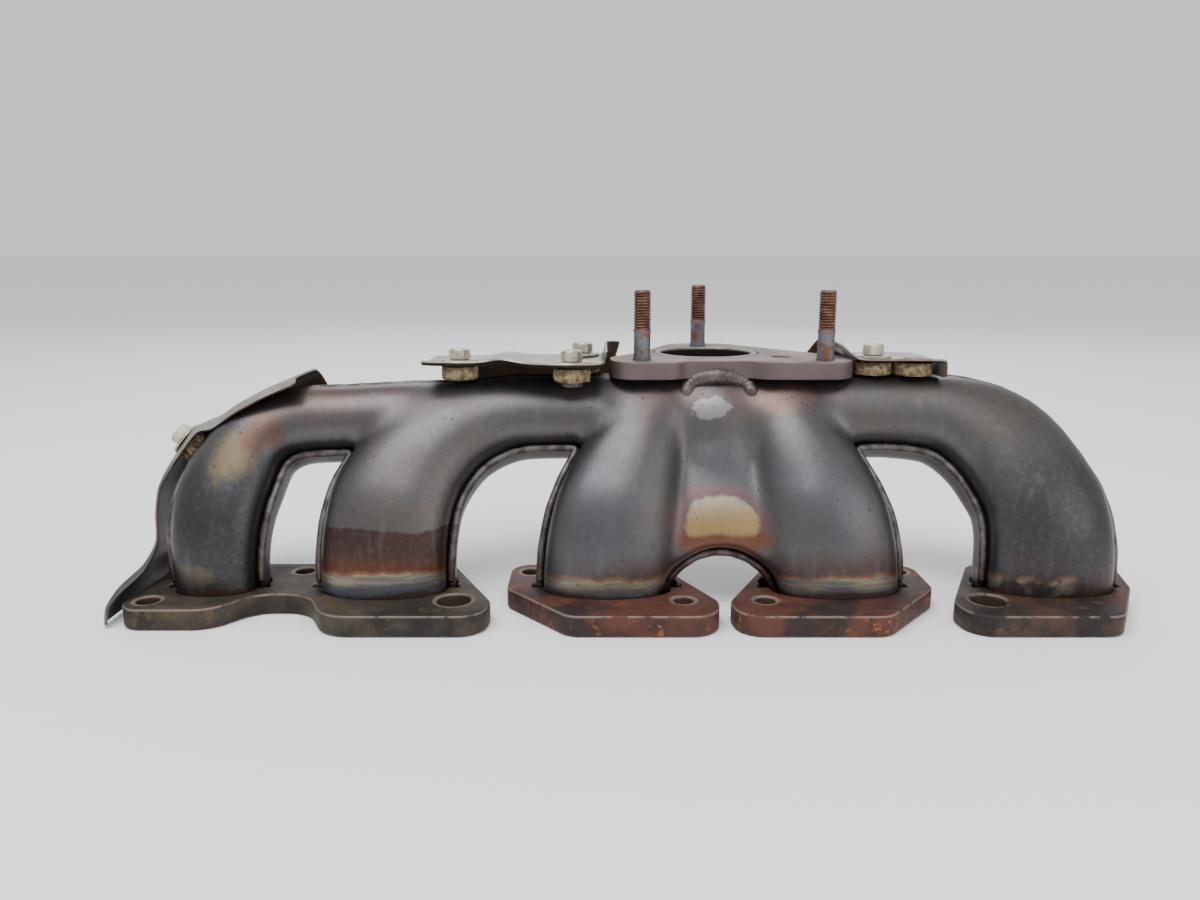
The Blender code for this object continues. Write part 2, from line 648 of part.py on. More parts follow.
# ---------------------------------------------------------------- the pieces
def build_shells(front_steel, rear_steel):
    front = half_shell("front_shell", front_steel, rear=False)
    rear = half_shell("rear_shell", rear_steel, rear=True)
    chimney = cylinder_mesh(0.0345, 0, 0.08, 36)
    middle = Vector(TURBO_PORT)
    seat = prism_mesh([middle + 1.03 * (p - middle) for p in rounded(TURBO_FLANGE)], 0.08)
    for shell in (front, rear):
        cut(shell, chimney, Matrix.Translation((*TURBO_PORT, NECK_TOP)))
        cut(shell, seat, Matrix.Translation((0, 0, TURBO_TOP - TURBO_THICK - FIT)))
        smooth(shell, 60)
    return front, rear


def build_head_flanges(rusty, dark):
    ports = (EGR_DUCT, BRANCH_2)
    holes = [circle(*hole) for hole in DOUBLE_HOLES]
    openings = [port_outline(duct[0][0], duct) for duct in ports]
    plate("double_head_flange", [rounded(DOUBLE_FLANGE), *openings, *holes], 0.0, HEAD_THICK, dark)
    singles = ((3, BRANCH_3, 1, rusty), (4, mirror_middle(BRANCH_3), -1, rusty), (5, BRANCH_5, -1, dark))
    for number, duct, hand, material in singles:
        x = duct[0][0]
        shape = END_FLANGE if number == 5 else SINGLE_FLANGE
        corners = [(x + hand * dx, dy, radius) for dx, dy, radius in shape]
        if hand < 0:
            corners.reverse()
        front_hole = WIDE_BOLT_HOLE if number == 5 else BOLT_HOLE
        radii = (BOLT_HOLE, front_hole)
        holes = [circle(x + hand * dx, dy, r) for (dx, dy), r in zip(SINGLE_HOLES, radii)]
        outlines = [rounded(corners), port_outline(x, duct), *holes]
        plate(f"head_flange_{number}", outlines, 0.0, HEAD_THICK, material)


def build_turbo_flange(machined, stud_steel, collar_steel):
    holes = [circle(x, y, STUD_RADIUS + FIT, 16) for x, y in STUDS]
    bore = circle(*TURBO_PORT, COLLAR_RADIUS + FIT, 40)
    outlines = [rounded(TURBO_FLANGE), bore, circle(*LOCATING_HOLE, 16), *holes]
    plate("turbo_flange", outlines, TURBO_TOP - TURBO_THICK, TURBO_THICK, machined)
    collar = ring_mesh(COLLAR_RADIUS, PORT_RADIUS, 0.087, TURBO_TOP, 40)
    add_node("outlet_collar", collar, collar_steel, Matrix.Translation((*TURBO_PORT, 0)))
    for number, (x, y) in enumerate(STUDS, 1):
        mesh = cylinder_mesh(STUD_RADIUS, TURBO_TOP - TURBO_THICK, STUD_TOP, 20)
        stud = add_node(f"turbo_stud_{number}", mesh, stud_steel, Matrix.Translation((x, y, 0)))
        bevel = stud.modifiers.new("point", "BEVEL")
        bevel.width = 0.0007
        bevel.limit_method = "ANGLE"
        smooth(stud)


def shield(name, stations, material, mounts):
    """A pressed shield. Each station is: x, z of the sheet, outward direction (x, z), near
    edge y, far edge y, depth of the skirt behind."""
    bm = bmesh.new()
    rows = []
    for x, z, (nx, nz), near, far, skirt in stations:
        out = Vector((nx, 0, nz)).normalized()
        place = Vector((x, 0, z))
        row = [
            place + out * 0.0012 + Vector((0, near, 0)),
            place + Vector((0, near + 0.004, 0)),
            place + Vector((0, far - 0.008, 0)),
            place - out * 0.0025 + Vector((0, far - 0.002, 0)),
            place - out * 0.0080 + Vector((0, far, 0)),
            place - out * skirt + Vector((0, far + 0.002, 0)),
        ]
        rows.append([bm.verts.new(p) for p in row])
    for a, b in zip(rows, rows[1:]):
        for k in range(len(a) - 1):
            bm.faces.new((a[k], b[k], b[k + 1], a[k + 1]))
    obj = add_node(name, bmesh_mesh(bm), material)
    solid = obj.modifiers.new("sheet", "SOLIDIFY")
    solid.thickness = SHIELD_SHEET
    solid.offset = 0.0
    solid.use_even_offset = True
    for place, axis in (MOUNTS[mount] for mount in mounts):
        drill = cylinder_mesh(SHANK_RADIUS + HOLE_ROOM, -0.02, 0.03, 12)
        cut(obj, drill, aim(place, axis))
    smooth(obj, 50)
    return obj


def build_mount(name, place, axis, metals):
    """Boss on the shell, pad, washer and bolt, stacked along the bolt's axis."""
    boss_steel, mesh_wire, washer_steel, bolt_steel = metals
    frame = aim(place, axis)
    bore = SHANK_RADIUS + HOLE_ROOM
    foot = FIT - gap_below(frame, BOSS_RADIUS)
    boss = ring_mesh(BOSS_RADIUS, bore, foot, PAD_HEIGHT)
    add_node(f"boss_{name}", boss, boss_steel, frame)
    pad = ring_mesh(PAD_RADIUS, PAD_BORE, 0, PAD_HEIGHT, 24)
    smooth(add_node(f"mesh_pad_{name}", pad, mesh_wire, frame))
    seat = PAD_HEIGHT + SHIELD_SHEET + 2 * FIT
    if name.startswith("right_b"):
        head = cylinder_mesh(RIVET_RADIUS, seat, seat + RIVET_HEIGHT, 20)
        fastener = add_node(f"rivet_{name}", head, washer_steel, frame)
        base = seat
    else:
        washer = ring_mesh(WASHER_RADIUS, bore, seat, seat + WASHER_HEIGHT, 24)
        add_node(f"washer_{name}", washer, washer_steel, frame)
        base = seat + WASHER_HEIGHT + FIT
        head = cylinder_mesh(HEX_ACROSS_FLATS / math.sqrt(3), base, base + HEX_HEIGHT, 6)
        fastener = add_node(f"bolt_{name}", head, bolt_steel, frame)
    shank = cylinder_mesh(SHANK_RADIUS, foot + FIT, base + 0.001, 12)
    cut(fastener, shank, operation="UNION")


for old in list(bpy.data.objects):
    bpy.data.objects.remove(old)
bpy.context.scene.collection.children.link(NODES)
bpy.context.scene.collection.children.link(CUTTERS)
LAYOUT = bpy.data.objects.new("layout", None)
NODES.objects.link(LAYOUT)
LAYOUT.location = LAYOUT_TO_ORIGIN

build_shells(
    steel("front_sheet", (0.20, 0.20, 0.22), 0.42),
    steel("rear_sheet", (0.17, 0.17, 0.19), 0.46),
)
build_head_flanges(
    steel("rusty_plate", (0.21, 0.10, 0.07), 0.75, 0.4),
    steel("dark_plate", (0.10, 0.09, 0.08), 0.6, 0.6),
)
build_turbo_flange(
    steel("machined_plate", (0.24, 0.20, 0.20), 0.5),
    steel("stud_steel", (0.30, 0.17, 0.13), 0.6, 0.6),
    steel("collar_steel", (0.32, 0.29, 0.27), 0.4),
)
METALS = (
    steel("boss_steel", (0.15, 0.15, 0.16), 0.5),
    steel("mesh_wire", (0.32, 0.26, 0.15), 0.7),
    steel("washer_steel", (0.55, 0.53, 0.50), 0.35),
    steel("bolt_zinc", (0.62, 0.59, 0.52), 0.4),
)
for mount, (place, axis) in MOUNTS.items():
    build_mount(mount, place, axis, METALS)
SHEET_STEEL = steel("shield_sheet", (0.42, 0.41, 0.38), 0.45)
shield("heat_shield_left", LEFT_SHIELD, SHEET_STEEL, ("left",))
shield("heat_shield_middle", MIDDLE_SHIELD, SHEET_STEEL, ("middle_a", "middle_b", "middle_c"))
shield("heat_shield_right", RIGHT_SHIELD, SHEET_STEEL, ("right_a", "right_b"))
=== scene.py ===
"""Looks of the exhaust manifold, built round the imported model.

The fine shells, plates, shields, studs and pads stand for the plain CAD nodes of the same
name, and the weld beads are added. Every shape is made in the layout frame that the model was
drawn in (X along the cylinder head, Z up from the head joint) and then moved by OFFSET.
"""

import math
import random

import bmesh
import bpy
import numpy as np
from mathutils import Matrix, Vector


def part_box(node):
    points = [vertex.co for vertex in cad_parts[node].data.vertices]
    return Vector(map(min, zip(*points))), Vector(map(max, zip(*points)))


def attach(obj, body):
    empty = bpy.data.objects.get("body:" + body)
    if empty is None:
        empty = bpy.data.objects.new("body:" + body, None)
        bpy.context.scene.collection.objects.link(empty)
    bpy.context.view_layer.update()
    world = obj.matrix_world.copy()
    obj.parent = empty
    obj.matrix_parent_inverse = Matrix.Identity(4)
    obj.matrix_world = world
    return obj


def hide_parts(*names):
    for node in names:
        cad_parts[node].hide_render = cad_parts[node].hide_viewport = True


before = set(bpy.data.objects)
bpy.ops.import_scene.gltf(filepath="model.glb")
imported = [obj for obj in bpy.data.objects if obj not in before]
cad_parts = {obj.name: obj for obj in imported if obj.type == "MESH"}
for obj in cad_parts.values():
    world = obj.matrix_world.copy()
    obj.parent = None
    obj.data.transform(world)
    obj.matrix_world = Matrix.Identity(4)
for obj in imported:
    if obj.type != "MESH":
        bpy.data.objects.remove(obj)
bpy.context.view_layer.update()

# ---------------------------------------------------------------- dimensions (metres)
FIT = 0.0004                      # gap between neighbouring solids

# The surface where the half shells meet: upright at the foot, then curved back to a lean.
UPRIGHT = 0.014
LEAN_RADIUS = 0.060
LEAN = math.radians(34)

SHEET = 0.0022                    # shell sheet
LAP_GAP = 0.00125                 # gap in the lap joint between the shells
WALL = 0.0045                     # the walls stand straight this far to each side of the joint
TUCK = 0.002                      # how far the front shell reaches into the rear one
RIM = 0.0010                      # how far the rear shell's rim stands in front of the joint
SHELL_FOOT = 0.002                # the shells end this far above the head joint
BLEND = 0.0055                    # radius of the valleys between ducts
ARCH_BLEND = 0.004                # radius of the edge round the arch below the web

# Centre lines of the ducts on the parting surface. Each point is: along X, up the surface,
# half width, bulge to the front, bulge to the rear.
EGR_DUCT = (
    (-0.1683, -0.012, 0.0170, 0.0140, 0.0150),
    (-0.1683, 0.012, 0.0170, 0.0140, 0.0150),
    (-0.1683, 0.034, 0.0185, 0.0155, 0.0170),
    (-0.1655, 0.053, 0.0190, 0.0160, 0.0180),
    (-0.1565, 0.074, 0.0165, 0.0160, 0.0180),
    (-0.1400, 0.084, 0.0145, 0.0150, 0.0180),
    (-0.1150, 0.086, 0.0142, 0.0150, 0.0180),
    (-0.0900, 0.0875, 0.0142, 0.0145, 0.0180),
    (-0.0740, 0.0880, 0.0140, 0.0135, 0.0175),
    (-0.0500, 0.0880, 0.0110, 0.0090, 0.0140),
)
BRANCH_2 = (
    (-0.0945, -0.012, 0.0270, 0.0178, 0.0180),
    (-0.0945, 0.014, 0.0270, 0.0178, 0.0180),
    (-0.0934, 0.033, 0.0270, 0.0185, 0.0200),
    (-0.0900, 0.050, 0.0265, 0.0190, 0.0210),
    (-0.0810, 0.066, 0.0240, 0.0190, 0.0220),
    (-0.0650, 0.080, 0.0200, 0.0180, 0.0220),
    (-0.0420, 0.0885, 0.0165, 0.0155, 0.0220),
    (-0.0150, 0.0900, 0.0160, 0.0145, 0.0220),
    (0.0150, 0.0900, 0.0160, 0.0145, 0.0220),
    (0.0510, 0.0905, 0.0160, 0.0145, 0.0240),
)
BRANCH_3 = (
    (0.0030, -0.012, 0.0275, 0.0175, 0.0180),
    (0.0030, 0.014, 0.0275, 0.0175, 0.0180),
    (0.0048, 0.033, 0.0268, 0.0185, 0.0200),
    (0.0090, 0.050, 0.0250, 0.0190, 0.0220),
    (0.0150, 0.068, 0.0215, 0.0190, 0.0230),
    (0.0210, 0.084, 0.0190, 0.0170, 0.0240),
    (0.0280, 0.0915, 0.0140, 0.0130, 0.0240),
)
MIDDLE_X = 0.0527                 # branches 3 and 4 mirror each other about this plane
BRANCH_5 = (
    (0.1970, -0.012, 0.0270, 0.0155, 0.0170),
    (0.1970, 0.014, 0.0270, 0.0155, 0.0170),
    (0.1965, 0.036, 0.0262, 0.0170, 0.0190),
    (0.1930, 0.052, 0.0255, 0.0180, 0.0200),
    (0.1810, 0.074, 0.0240, 0.0180, 0.0210),
    (0.1600, 0.0870, 0.0185, 0.0170, 0.0210),
    (0.1360, 0.0900, 0.0160, 0.0155, 0.0210),
    (0.1100, 0.0900, 0.0160, 0.0150, 0.0220),
    (0.0800, 0.0905, 0.0160, 0.0145, 0.0240),
    (0.0510, 0.0905, 0.0160, 0.0145, 0.0240),
)
WEB = (
    (MIDDLE_X, 0.028, 0.0260, 0.0078, 0.0160),
    (MIDDLE_X, 0.052, 0.0240, 0.0080, 0.0160),
    (MIDDLE_X, 0.066, 0.0200, 0.0092, 0.0200),
    (MIDDLE_X, 0.080, 0.0200, 0.0118, 0.0240),
    (MIDDLE_X, 0.093, 0.0130, 0.0105, 0.0240),
)
ARCH = (MIDDLE_X, -0.001, 0.0275)  # round opening below the web: along X, up, radius

# Turbocharger flange and the neck that carries it.
TURBO_TOP = 0.1058
TURBO_THICK = 0.008
TURBO_PORT = (0.0514, 0.0636)
PORT_RADIUS = 0.022
COLLAR_RADIUS = 0.025
COLLAR_FOOT = 0.087
NECK_RADIUS = 0.0285
NECK_FOOT = (0.0514, 0.0420, 0.0720)
NECK_FOOT_RADIUS = 0.021
NECK_TOP = 0.0949
STUDS = ((0.0190, 0.0295), (0.1020, 0.0295), (0.0505, 0.0943))
STUD_RADIUS = 0.004
STUD_TOP = 0.1368
LOCATING_HOLE = (0.0845, 0.0420, 0.0045)

# Corners of the turbocharger flange: x, y, radius of the corner.
TURBO_FLANGE = (
    (0.0055, 0.0180, 0.012),
    (0.0330, 0.0180, 0.012),
    (0.0400, 0.0245, 0.012),
    (0.0660, 0.0245, 0.012),
    (0.0740, 0.0185, 0.012),
    (0.1142, 0.0185, 0.012),
    (0.1147, 0.0440, 0.014),
    (0.0940, 0.0700, 0.060),
    (0.0660, 0.1070, 0.013),
    (0.0370, 0.1085, 0.012),
    (0.0190, 0.0620, 0.030),
    (0.0040, 0.0400, 0.014),
)

# Head flanges.
HEAD_THICK = 0.009
BOLT_HOLE = 0.0043
WIDE_BOLT_HOLE = 0.0072
SINGLE_HOLES = ((-0.0346, 0.0185), (0.0324, -0.0187))
# Corners of a single flange, from its port's centre: x, y, radius of the corner.
SINGLE_FLANGE = (
    (-0.0440, -0.0035, 0.009),
    (-0.0160, -0.0372, 0.010),
    (0.0455, -0.0372, 0.012),
    (0.0475, -0.0200, 0.010),
    (0.0243, 0.0290, 0.010),
    (-0.0440, 0.0290, 0.010),
)
END_FLANGE = (
    (-0.0365, -0.0030, 0.012),
    *SINGLE_FLANGE[1:5],
    (-0.0450, 0.0290, 0.010),
)
DOUBLE_FLANGE = (
    (-0.2015, -0.0300, 0.010),
    (-0.1620, -0.0300, 0.016),
    (-0.1480, -0.0110, 0.016),
    (-0.1260, -0.0110, 0.016),
    (-0.1130, -0.0372, 0.016),
    (-0.0480, -0.0372, 0.012),
    (-0.0460, -0.0200, 0.010),
    (-0.0692, 0.0300, 0.010),
    (-0.1980, 0.0300, 0.012),
)
DOUBLE_HOLES = (
    (-0.1915, -0.0190, 0.0048),
    (-0.0620, -0.0187, WIDE_BOLT_HOLE),
    (-0.1365, 0.0195, BOLT_HOLE),
)
NOTCH_REACH = 0.0056              # the notches beside the ports, past the front shell's edge
NOTCH_HALF = 0.0026

# Heat shields and their mounts. A pad of knitted wire stands on the shell round a threaded
# boss, and the sheet lies on the pad.
SHIELD_SHEET = 0.0009
PAD_RADIUS = 0.0083
PAD_BORE = 0.0052
PAD_HEIGHT = 0.0058
WASHER_RADIUS = 0.0082
WASHER_HEIGHT = 0.0012
SHANK_RADIUS = 0.0030
HEX_ACROSS_FLATS = 0.0085
HEX_HEIGHT = 0.0045
RIVET_RADIUS = 0.0046
HOLE_ROOM = 0.0005                # radial room round a bolt's shank
FLAT = 0.0095                     # half length of the flat of a shield at a mount
SHEET_LIFT = PAD_HEIGHT + FIT + SHIELD_SHEET / 2

LEFT_AXIS = Vector((-0.78, 0.0, 0.62)).normalized()
UP_AXIS = Vector((0.0, 0.0, 1.0))
Y_AXIS = Vector((0.0, 1.0, 0.0))
MIDDLE_PAD_FOOT = 0.0972
RIGHT_PAD_FOOT = 0.0988
# Each mount: centre of the pad's lower face, direction of the bolt's head.
MOUNTS = {
    "left": (Vector((-0.1837, 0.0300, 0.0643)), LEFT_AXIS),
    "middle_a": (Vector((-0.0635, 0.0300, MIDDLE_PAD_FOOT)), UP_AXIS),
    "middle_b": (Vector((-0.0125, 0.0210, MIDDLE_PAD_FOOT)), UP_AXIS),
    "middle_c": (Vector((-0.0085, 0.0590, MIDDLE_PAD_FOOT)), UP_AXIS),
    "right_a": (Vector((0.1248, 0.0340, RIGHT_PAD_FOOT)), UP_AXIS),
    "right_b": (Vector((0.1424, 0.0310, RIGHT_PAD_FOOT)), UP_AXIS),
}
LEFT_SEAT = MOUNTS["left"][0] + LEFT_AXIS * SHEET_LIFT
LEFT_RUN = Vector((-LEFT_AXIS.z, 0.0, LEFT_AXIS.x))
MIDDLE_SHEET = MIDDLE_PAD_FOOT + SHEET_LIFT
RIGHT_SHEET = RIGHT_PAD_FOOT + SHEET_LIFT

# Sections of the shields along X. Each is: x, z, outward direction (x, z), near edge y, far
# edge y, depth of the skirt behind.
LEFT_SHIELD = (
    (-0.1350, 0.0993, (-0.40, 1.0), 0.015, 0.056, 0.016),
    (-0.1500, 0.0930, (-0.50, 1.0), 0.015, 0.056, 0.016),
    (-0.1630, 0.0862, (-0.60, 1.0), 0.015, 0.056, 0.016),
    (-0.1745, 0.0785, (-0.70, 1.0), 0.017, 0.056, 0.015),
    (*(LEFT_SEAT - LEFT_RUN * FLAT).xz, LEFT_AXIS.xz, 0.019, 0.055, 0.014),
    (*(LEFT_SEAT + LEFT_RUN * FLAT).xz, LEFT_AXIS.xz, 0.019, 0.052, 0.012),
    (-0.1990, 0.0500, (-1.0, 0.15), 0.012, 0.050, 0.010),
    (-0.2000, 0.0385, (-1.0, 0.00), 0.009, 0.048, 0.010),
    (-0.1985, 0.0270, (-1.0, 0.00), 0.004, 0.046, 0.010),
    (-0.2005, 0.0190, (-0.8, 0.60), -0.006, 0.044, 0.008),
    (-0.2060, 0.0130, (-0.8, 0.60), -0.018, 0.042, 0.006),
    (-0.2085, 0.0070, (-1.0, 0.20), -0.025, 0.040, 0.005),
    (-0.2085, 0.0010, (-1.0, 0.00), -0.027, 0.040, 0.004),
)
MIDDLE_SHIELD = (
    (-0.0790, 0.1040, (-0.1, 1.0), 0.019, 0.070, 0.012),
    (-0.0735, MIDDLE_SHEET, (0.0, 1.0), 0.018, 0.072, 0.016),
    (-0.0535, MIDDLE_SHEET, (0.0, 1.0), 0.018, 0.074, 0.018),
    (-0.0440, 0.1055, (0.1, 1.0), 0.016, 0.076, 0.020),
    (-0.0330, 0.1040, (0.1, 1.0), 0.013, 0.077, 0.020),
    (-0.0230, MIDDLE_SHEET, (0.0, 1.0), 0.010, 0.078, 0.020),
    (0.0000, MIDDLE_SHEET, (0.0, 1.0), 0.010, 0.078, 0.020),
    (0.0020, 0.1068, (-0.9, 0.5), 0.012, 0.078, 0.004),
    (0.0028, 0.1105, (-1.0, 0.1), 0.014, 0.076, 0.003),
)
RIGHT_SHIELD = (
    (0.1075, 0.1125, (0.6, 1.0), 0.046, 0.072, 0.010),
    (0.1120, 0.1100, (0.6, 1.0), 0.040, 0.072, 0.014),
    (0.1163, RIGHT_SHEET, (0.0, 1.0), 0.024, 0.072, 0.018),
    (0.1340, RIGHT_SHEET, (0.0, 1.0), 0.022, 0.072, 0.018),
    (0.1515, RIGHT_SHEET, (0.0, 1.0), 0.020, 0.068, 0.018),
    (0.1530, 0.1040, (0.7, 0.7), 0.021, 0.067, 0.012),
    (0.1535, 0.0985, (1.0, 0.0), 0.023, 0.066, 0.003),
)

STUD_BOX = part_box("turbo_stud_1")
OFFSET = Vector([(STUD_BOX[0][k] + STUD_BOX[1][k]) / 2 - STUDS[0][k] for k in (0, 1)] + [0.0])


# ---------------------------------------------------------------- shape of the shells
def parting(up):
    """Y, Z and lean of the parting surface, at a distance measured up along it."""
    turn = np.clip((up - UPRIGHT) / LEAN_RADIUS, 0.0, LEAN)
    past = np.maximum(up - UPRIGHT - LEAN_RADIUS * LEAN, 0.0)
    back = LEAN_RADIUS * (1 - np.cos(turn)) + past * math.sin(LEAN)
    high = np.minimum(up, UPRIGHT) + LEAN_RADIUS * np.sin(turn) + past * math.cos(LEAN)
    return back, high, turn


def to_layout(points):
    """Points (along X, up the parting surface, bulge to the front) in the layout frame."""
    back, high, turn = parting(points[:, 1])
    bulge = points[:, 2]
    return np.stack([points[:, 0], back - bulge * np.cos(turn), high + bulge * np.sin(turn)], 1)


def curve_point(a, b, c, d, t):
    """A point of a Catmull-Rom curve between b and c."""
    return 0.5 * (2 * b + (c - a) * t + (2 * a - 5 * b + 4 * c - d) * t ** 2
                  + (3 * b - a - 3 * c + d) * t ** 3)


def smooth_path(points, per_span=5):
    """A Catmull-Rom curve through a duct's points, with its sizes."""
    keys = np.array(points)
    keys = np.vstack([2 * keys[0] - keys[1], keys, 2 * keys[-1] - keys[-2]])
    path = []
    for a, b, c, d in zip(keys, keys[1:], keys[2:], keys[3:]):
        for t in np.arange(per_span) / per_span:
            path.append(curve_point(a, b, c, d, t))
    path.append(keys[-2])
    return np.array(path)


def duct_field(points, path):
    """Signed distance, nearly, to a duct of elliptic section along a path."""
    best = np.full(len(points), np.inf)
    for a, b in zip(path, path[1:]):
        run = b[:2] - a[:2]
        t = np.clip(((points[:, :2] - a[:2]) @ run) / (run @ run), 0.0, 1.0)
        aside = np.hypot(*(points[:, :2] - a[:2] - t[:, None] * run).T)
        width = a[2] + t * (b[2] - a[2])
        front = a[3] + t * (b[3] - a[3])
        rear = a[4] + t * (b[4] - a[4])
        depth = np.where(points[:, 2] > 0, front, rear) - WALL
        height = np.maximum(np.abs(points[:, 2]) - WALL, 0.0)
        size = np.hypot(aside / width, height / depth) + 1e-9
        slope = np.hypot(aside / width ** 2, height / depth ** 2) / size + 1e-9
        best = np.minimum(best, (size - 1) / slope)
    return best


def neck_field(points):
    """Signed distance to the neck below the turbocharger flange."""
    place = to_layout(points)
    foot = np.array(NECK_FOOT)
    mouth = np.array((*TURBO_PORT, NECK_TOP))
    chimney = np.array((*TURBO_PORT, NECK_TOP + 0.05))
    best = np.full(len(points), np.inf)
    spans = ((foot, mouth, NECK_FOOT_RADIUS, NECK_RADIUS), (mouth, chimney, NECK_RADIUS, NECK_RADIUS))
    for a, b, wide_a, wide_b in spans:
        run = b - a
        t = np.clip(((place - a) @ run) / (run @ run), 0.0, 1.0)
        away = np.linalg.norm(place - a - t[:, None] * run, axis=1)
        best = np.minimum(best, away - wide_a - t * (wide_b - wide_a))
    return best


def smooth_union(a, b, radius):
    """The smaller of two distances, with a fillet where they are close."""
    mix = np.maximum(radius - np.abs(a - b), 0.0) / radius
    return np.minimum(a, b) - mix ** 2 * radius / 4


def mirror_middle(points):
    return tuple((2 * MIDDLE_X - x, *rest) for x, *rest in points)


DUCTS = [smooth_path(duct) for duct in (EGR_DUCT, BRANCH_2, BRANCH_3, mirror_middle(BRANCH_3),
                                        BRANCH_5, WEB)]


def body_field(points):
    """Signed distance to the outside of the front shell, negative inside."""
    total = duct_field(points, DUCTS[0])
    for path in DUCTS[1:]:
        total = smooth_union(total, duct_field(points, path), BLEND)
    total = smooth_union(total, neck_field(points), BLEND)
    arch = np.hypot(points[:, 0] - ARCH[0], points[:, 1] - ARCH[1]) - ARCH[2]
    return -smooth_union(-total, arch, ARCH_BLEND)


def from_layout(places):
    """The inverse of to_layout."""
    x, y, z = places.T
    high = z - UPRIGHT
    angle = np.arctan2(high, LEAN_RADIUS - y)
    bent_up = UPRIGHT + LEAN_RADIUS * angle
    bent_out = np.hypot(LEAN_RADIUS - y, high) - LEAN_RADIUS
    back = y - LEAN_RADIUS * (1 - math.cos(LEAN))
    rise = high - LEAN_RADIUS * math.sin(LEAN)
    lean_up = UPRIGHT + LEAN_RADIUS * LEAN + back * math.sin(LEAN) + rise * math.cos(LEAN)
    lean_out = rise * math.sin(LEAN) - back * math.cos(LEAN)
    up = np.where(high < 0, z, np.where(angle < LEAN, bent_up, lean_up))
    out = np.where(high < 0, -y, np.where(angle < LEAN, bent_out, lean_out))
    return np.stack([x, up, out], 1)


def rounded(corners, step=math.radians(18)):
    """A closed outline through corners (x, y, radius), each turned into an arc."""
    outline = []
    for k, (x, y, radius) in enumerate(corners):
        here = Vector((x, y))
        back = (Vector(corners[k - 1][:2]) - here).normalized()
        ahead = (Vector(corners[(k + 1) % len(corners)][:2]) - here).normalized()
        half = back.angle(ahead) / 2
        centre = here + (back + ahead).normalized() * (radius / math.sin(half))
        first = here + back * (radius / math.tan(half)) - centre
        last = here + ahead * (radius / math.tan(half)) - centre
        sweep = first.angle_signed(last)
        count = max(2, math.ceil(abs(sweep) / step))
        for n in range(count + 1):
            spoke = first.copy()
            spoke.rotate(Matrix.Rotation(-sweep * n / count, 2))
            outline.append(centre + spoke)
    return outline


def circle(x, y, radius, segments=20):
    turns = [2 * math.pi * n / segments for n in range(segments)]
    return [Vector((x + radius * math.cos(t), y + radius * math.sin(t))) for t in turns]


def half_oval(x, y, wide, deep, start, count=18):
    """Half an ellipse about (x, y), from the angle start, turning to the left."""
    turns = [start + math.pi * n / count for n in range(count + 1)]
    return [Vector((x + wide * math.cos(t), y + deep * math.sin(t))) for t in turns]


def port_outline(x, duct):
    """The opening that takes a branch: front half, rear half and a notch at each side."""
    wide, front, rear = duct[0][2:]
    grow = SHEET + LAP_GAP + 1.5 * FIT
    back = half_oval(x, WALL, wide + grow, rear - WALL + grow, 0.0)
    fore = half_oval(x, -WALL, wide + FIT, front - WALL + FIT, math.pi)
    steps = ((wide + grow, NOTCH_HALF), (wide + NOTCH_REACH, NOTCH_HALF),
             (wide + NOTCH_REACH, -NOTCH_HALF), (wide + FIT, -NOTCH_HALF))
    left = [Vector((x - reach, y)) for reach, y in steps]
    right = [Vector((x + reach, y)) for reach, y in reversed(steps)]
    return back + left + fore + right


# ---------------------------------------------------------------- fine nets
FINE_STEP = 0.0024
REAR_LAYERS = 39                  # cells from the rear shell's rim to the deepest duct
FRONT_DEPTH = 0.036
NET_LEFT, NET_RIGHT, NET_TOP = -0.2200, 0.2500, 0.1440
END_SWELL = 0.0075                # how far the rear of the last branch swells
# Where the swelling comes in: axis, start, and the way to its full share.
END_RAMPS = ((2, -WALL, -0.014), (0, 0.184, 0.030), (1, 0.008, 0.036), (1, 0.098, -0.036))
NECK_CUT = NECK_RADIUS + 0.0045   # the fine shells are open inside this, above NECK_TOP


def sampled(field, grid, step):
    """The field on a grid, worked out finely only near its zero surface."""
    rough = field(grid[::3, ::3, ::3].reshape(-1, 3)).reshape(grid[::3, ::3, ::3].shape[:3])
    values = rough.repeat(3, 0).repeat(3, 1).repeat(3, 2)
    values = values[:grid.shape[0], :grid.shape[1], :grid.shape[2]].copy()
    close = np.abs(values) < 5.5 * step
    values[close] = field(grid[close])
    return values


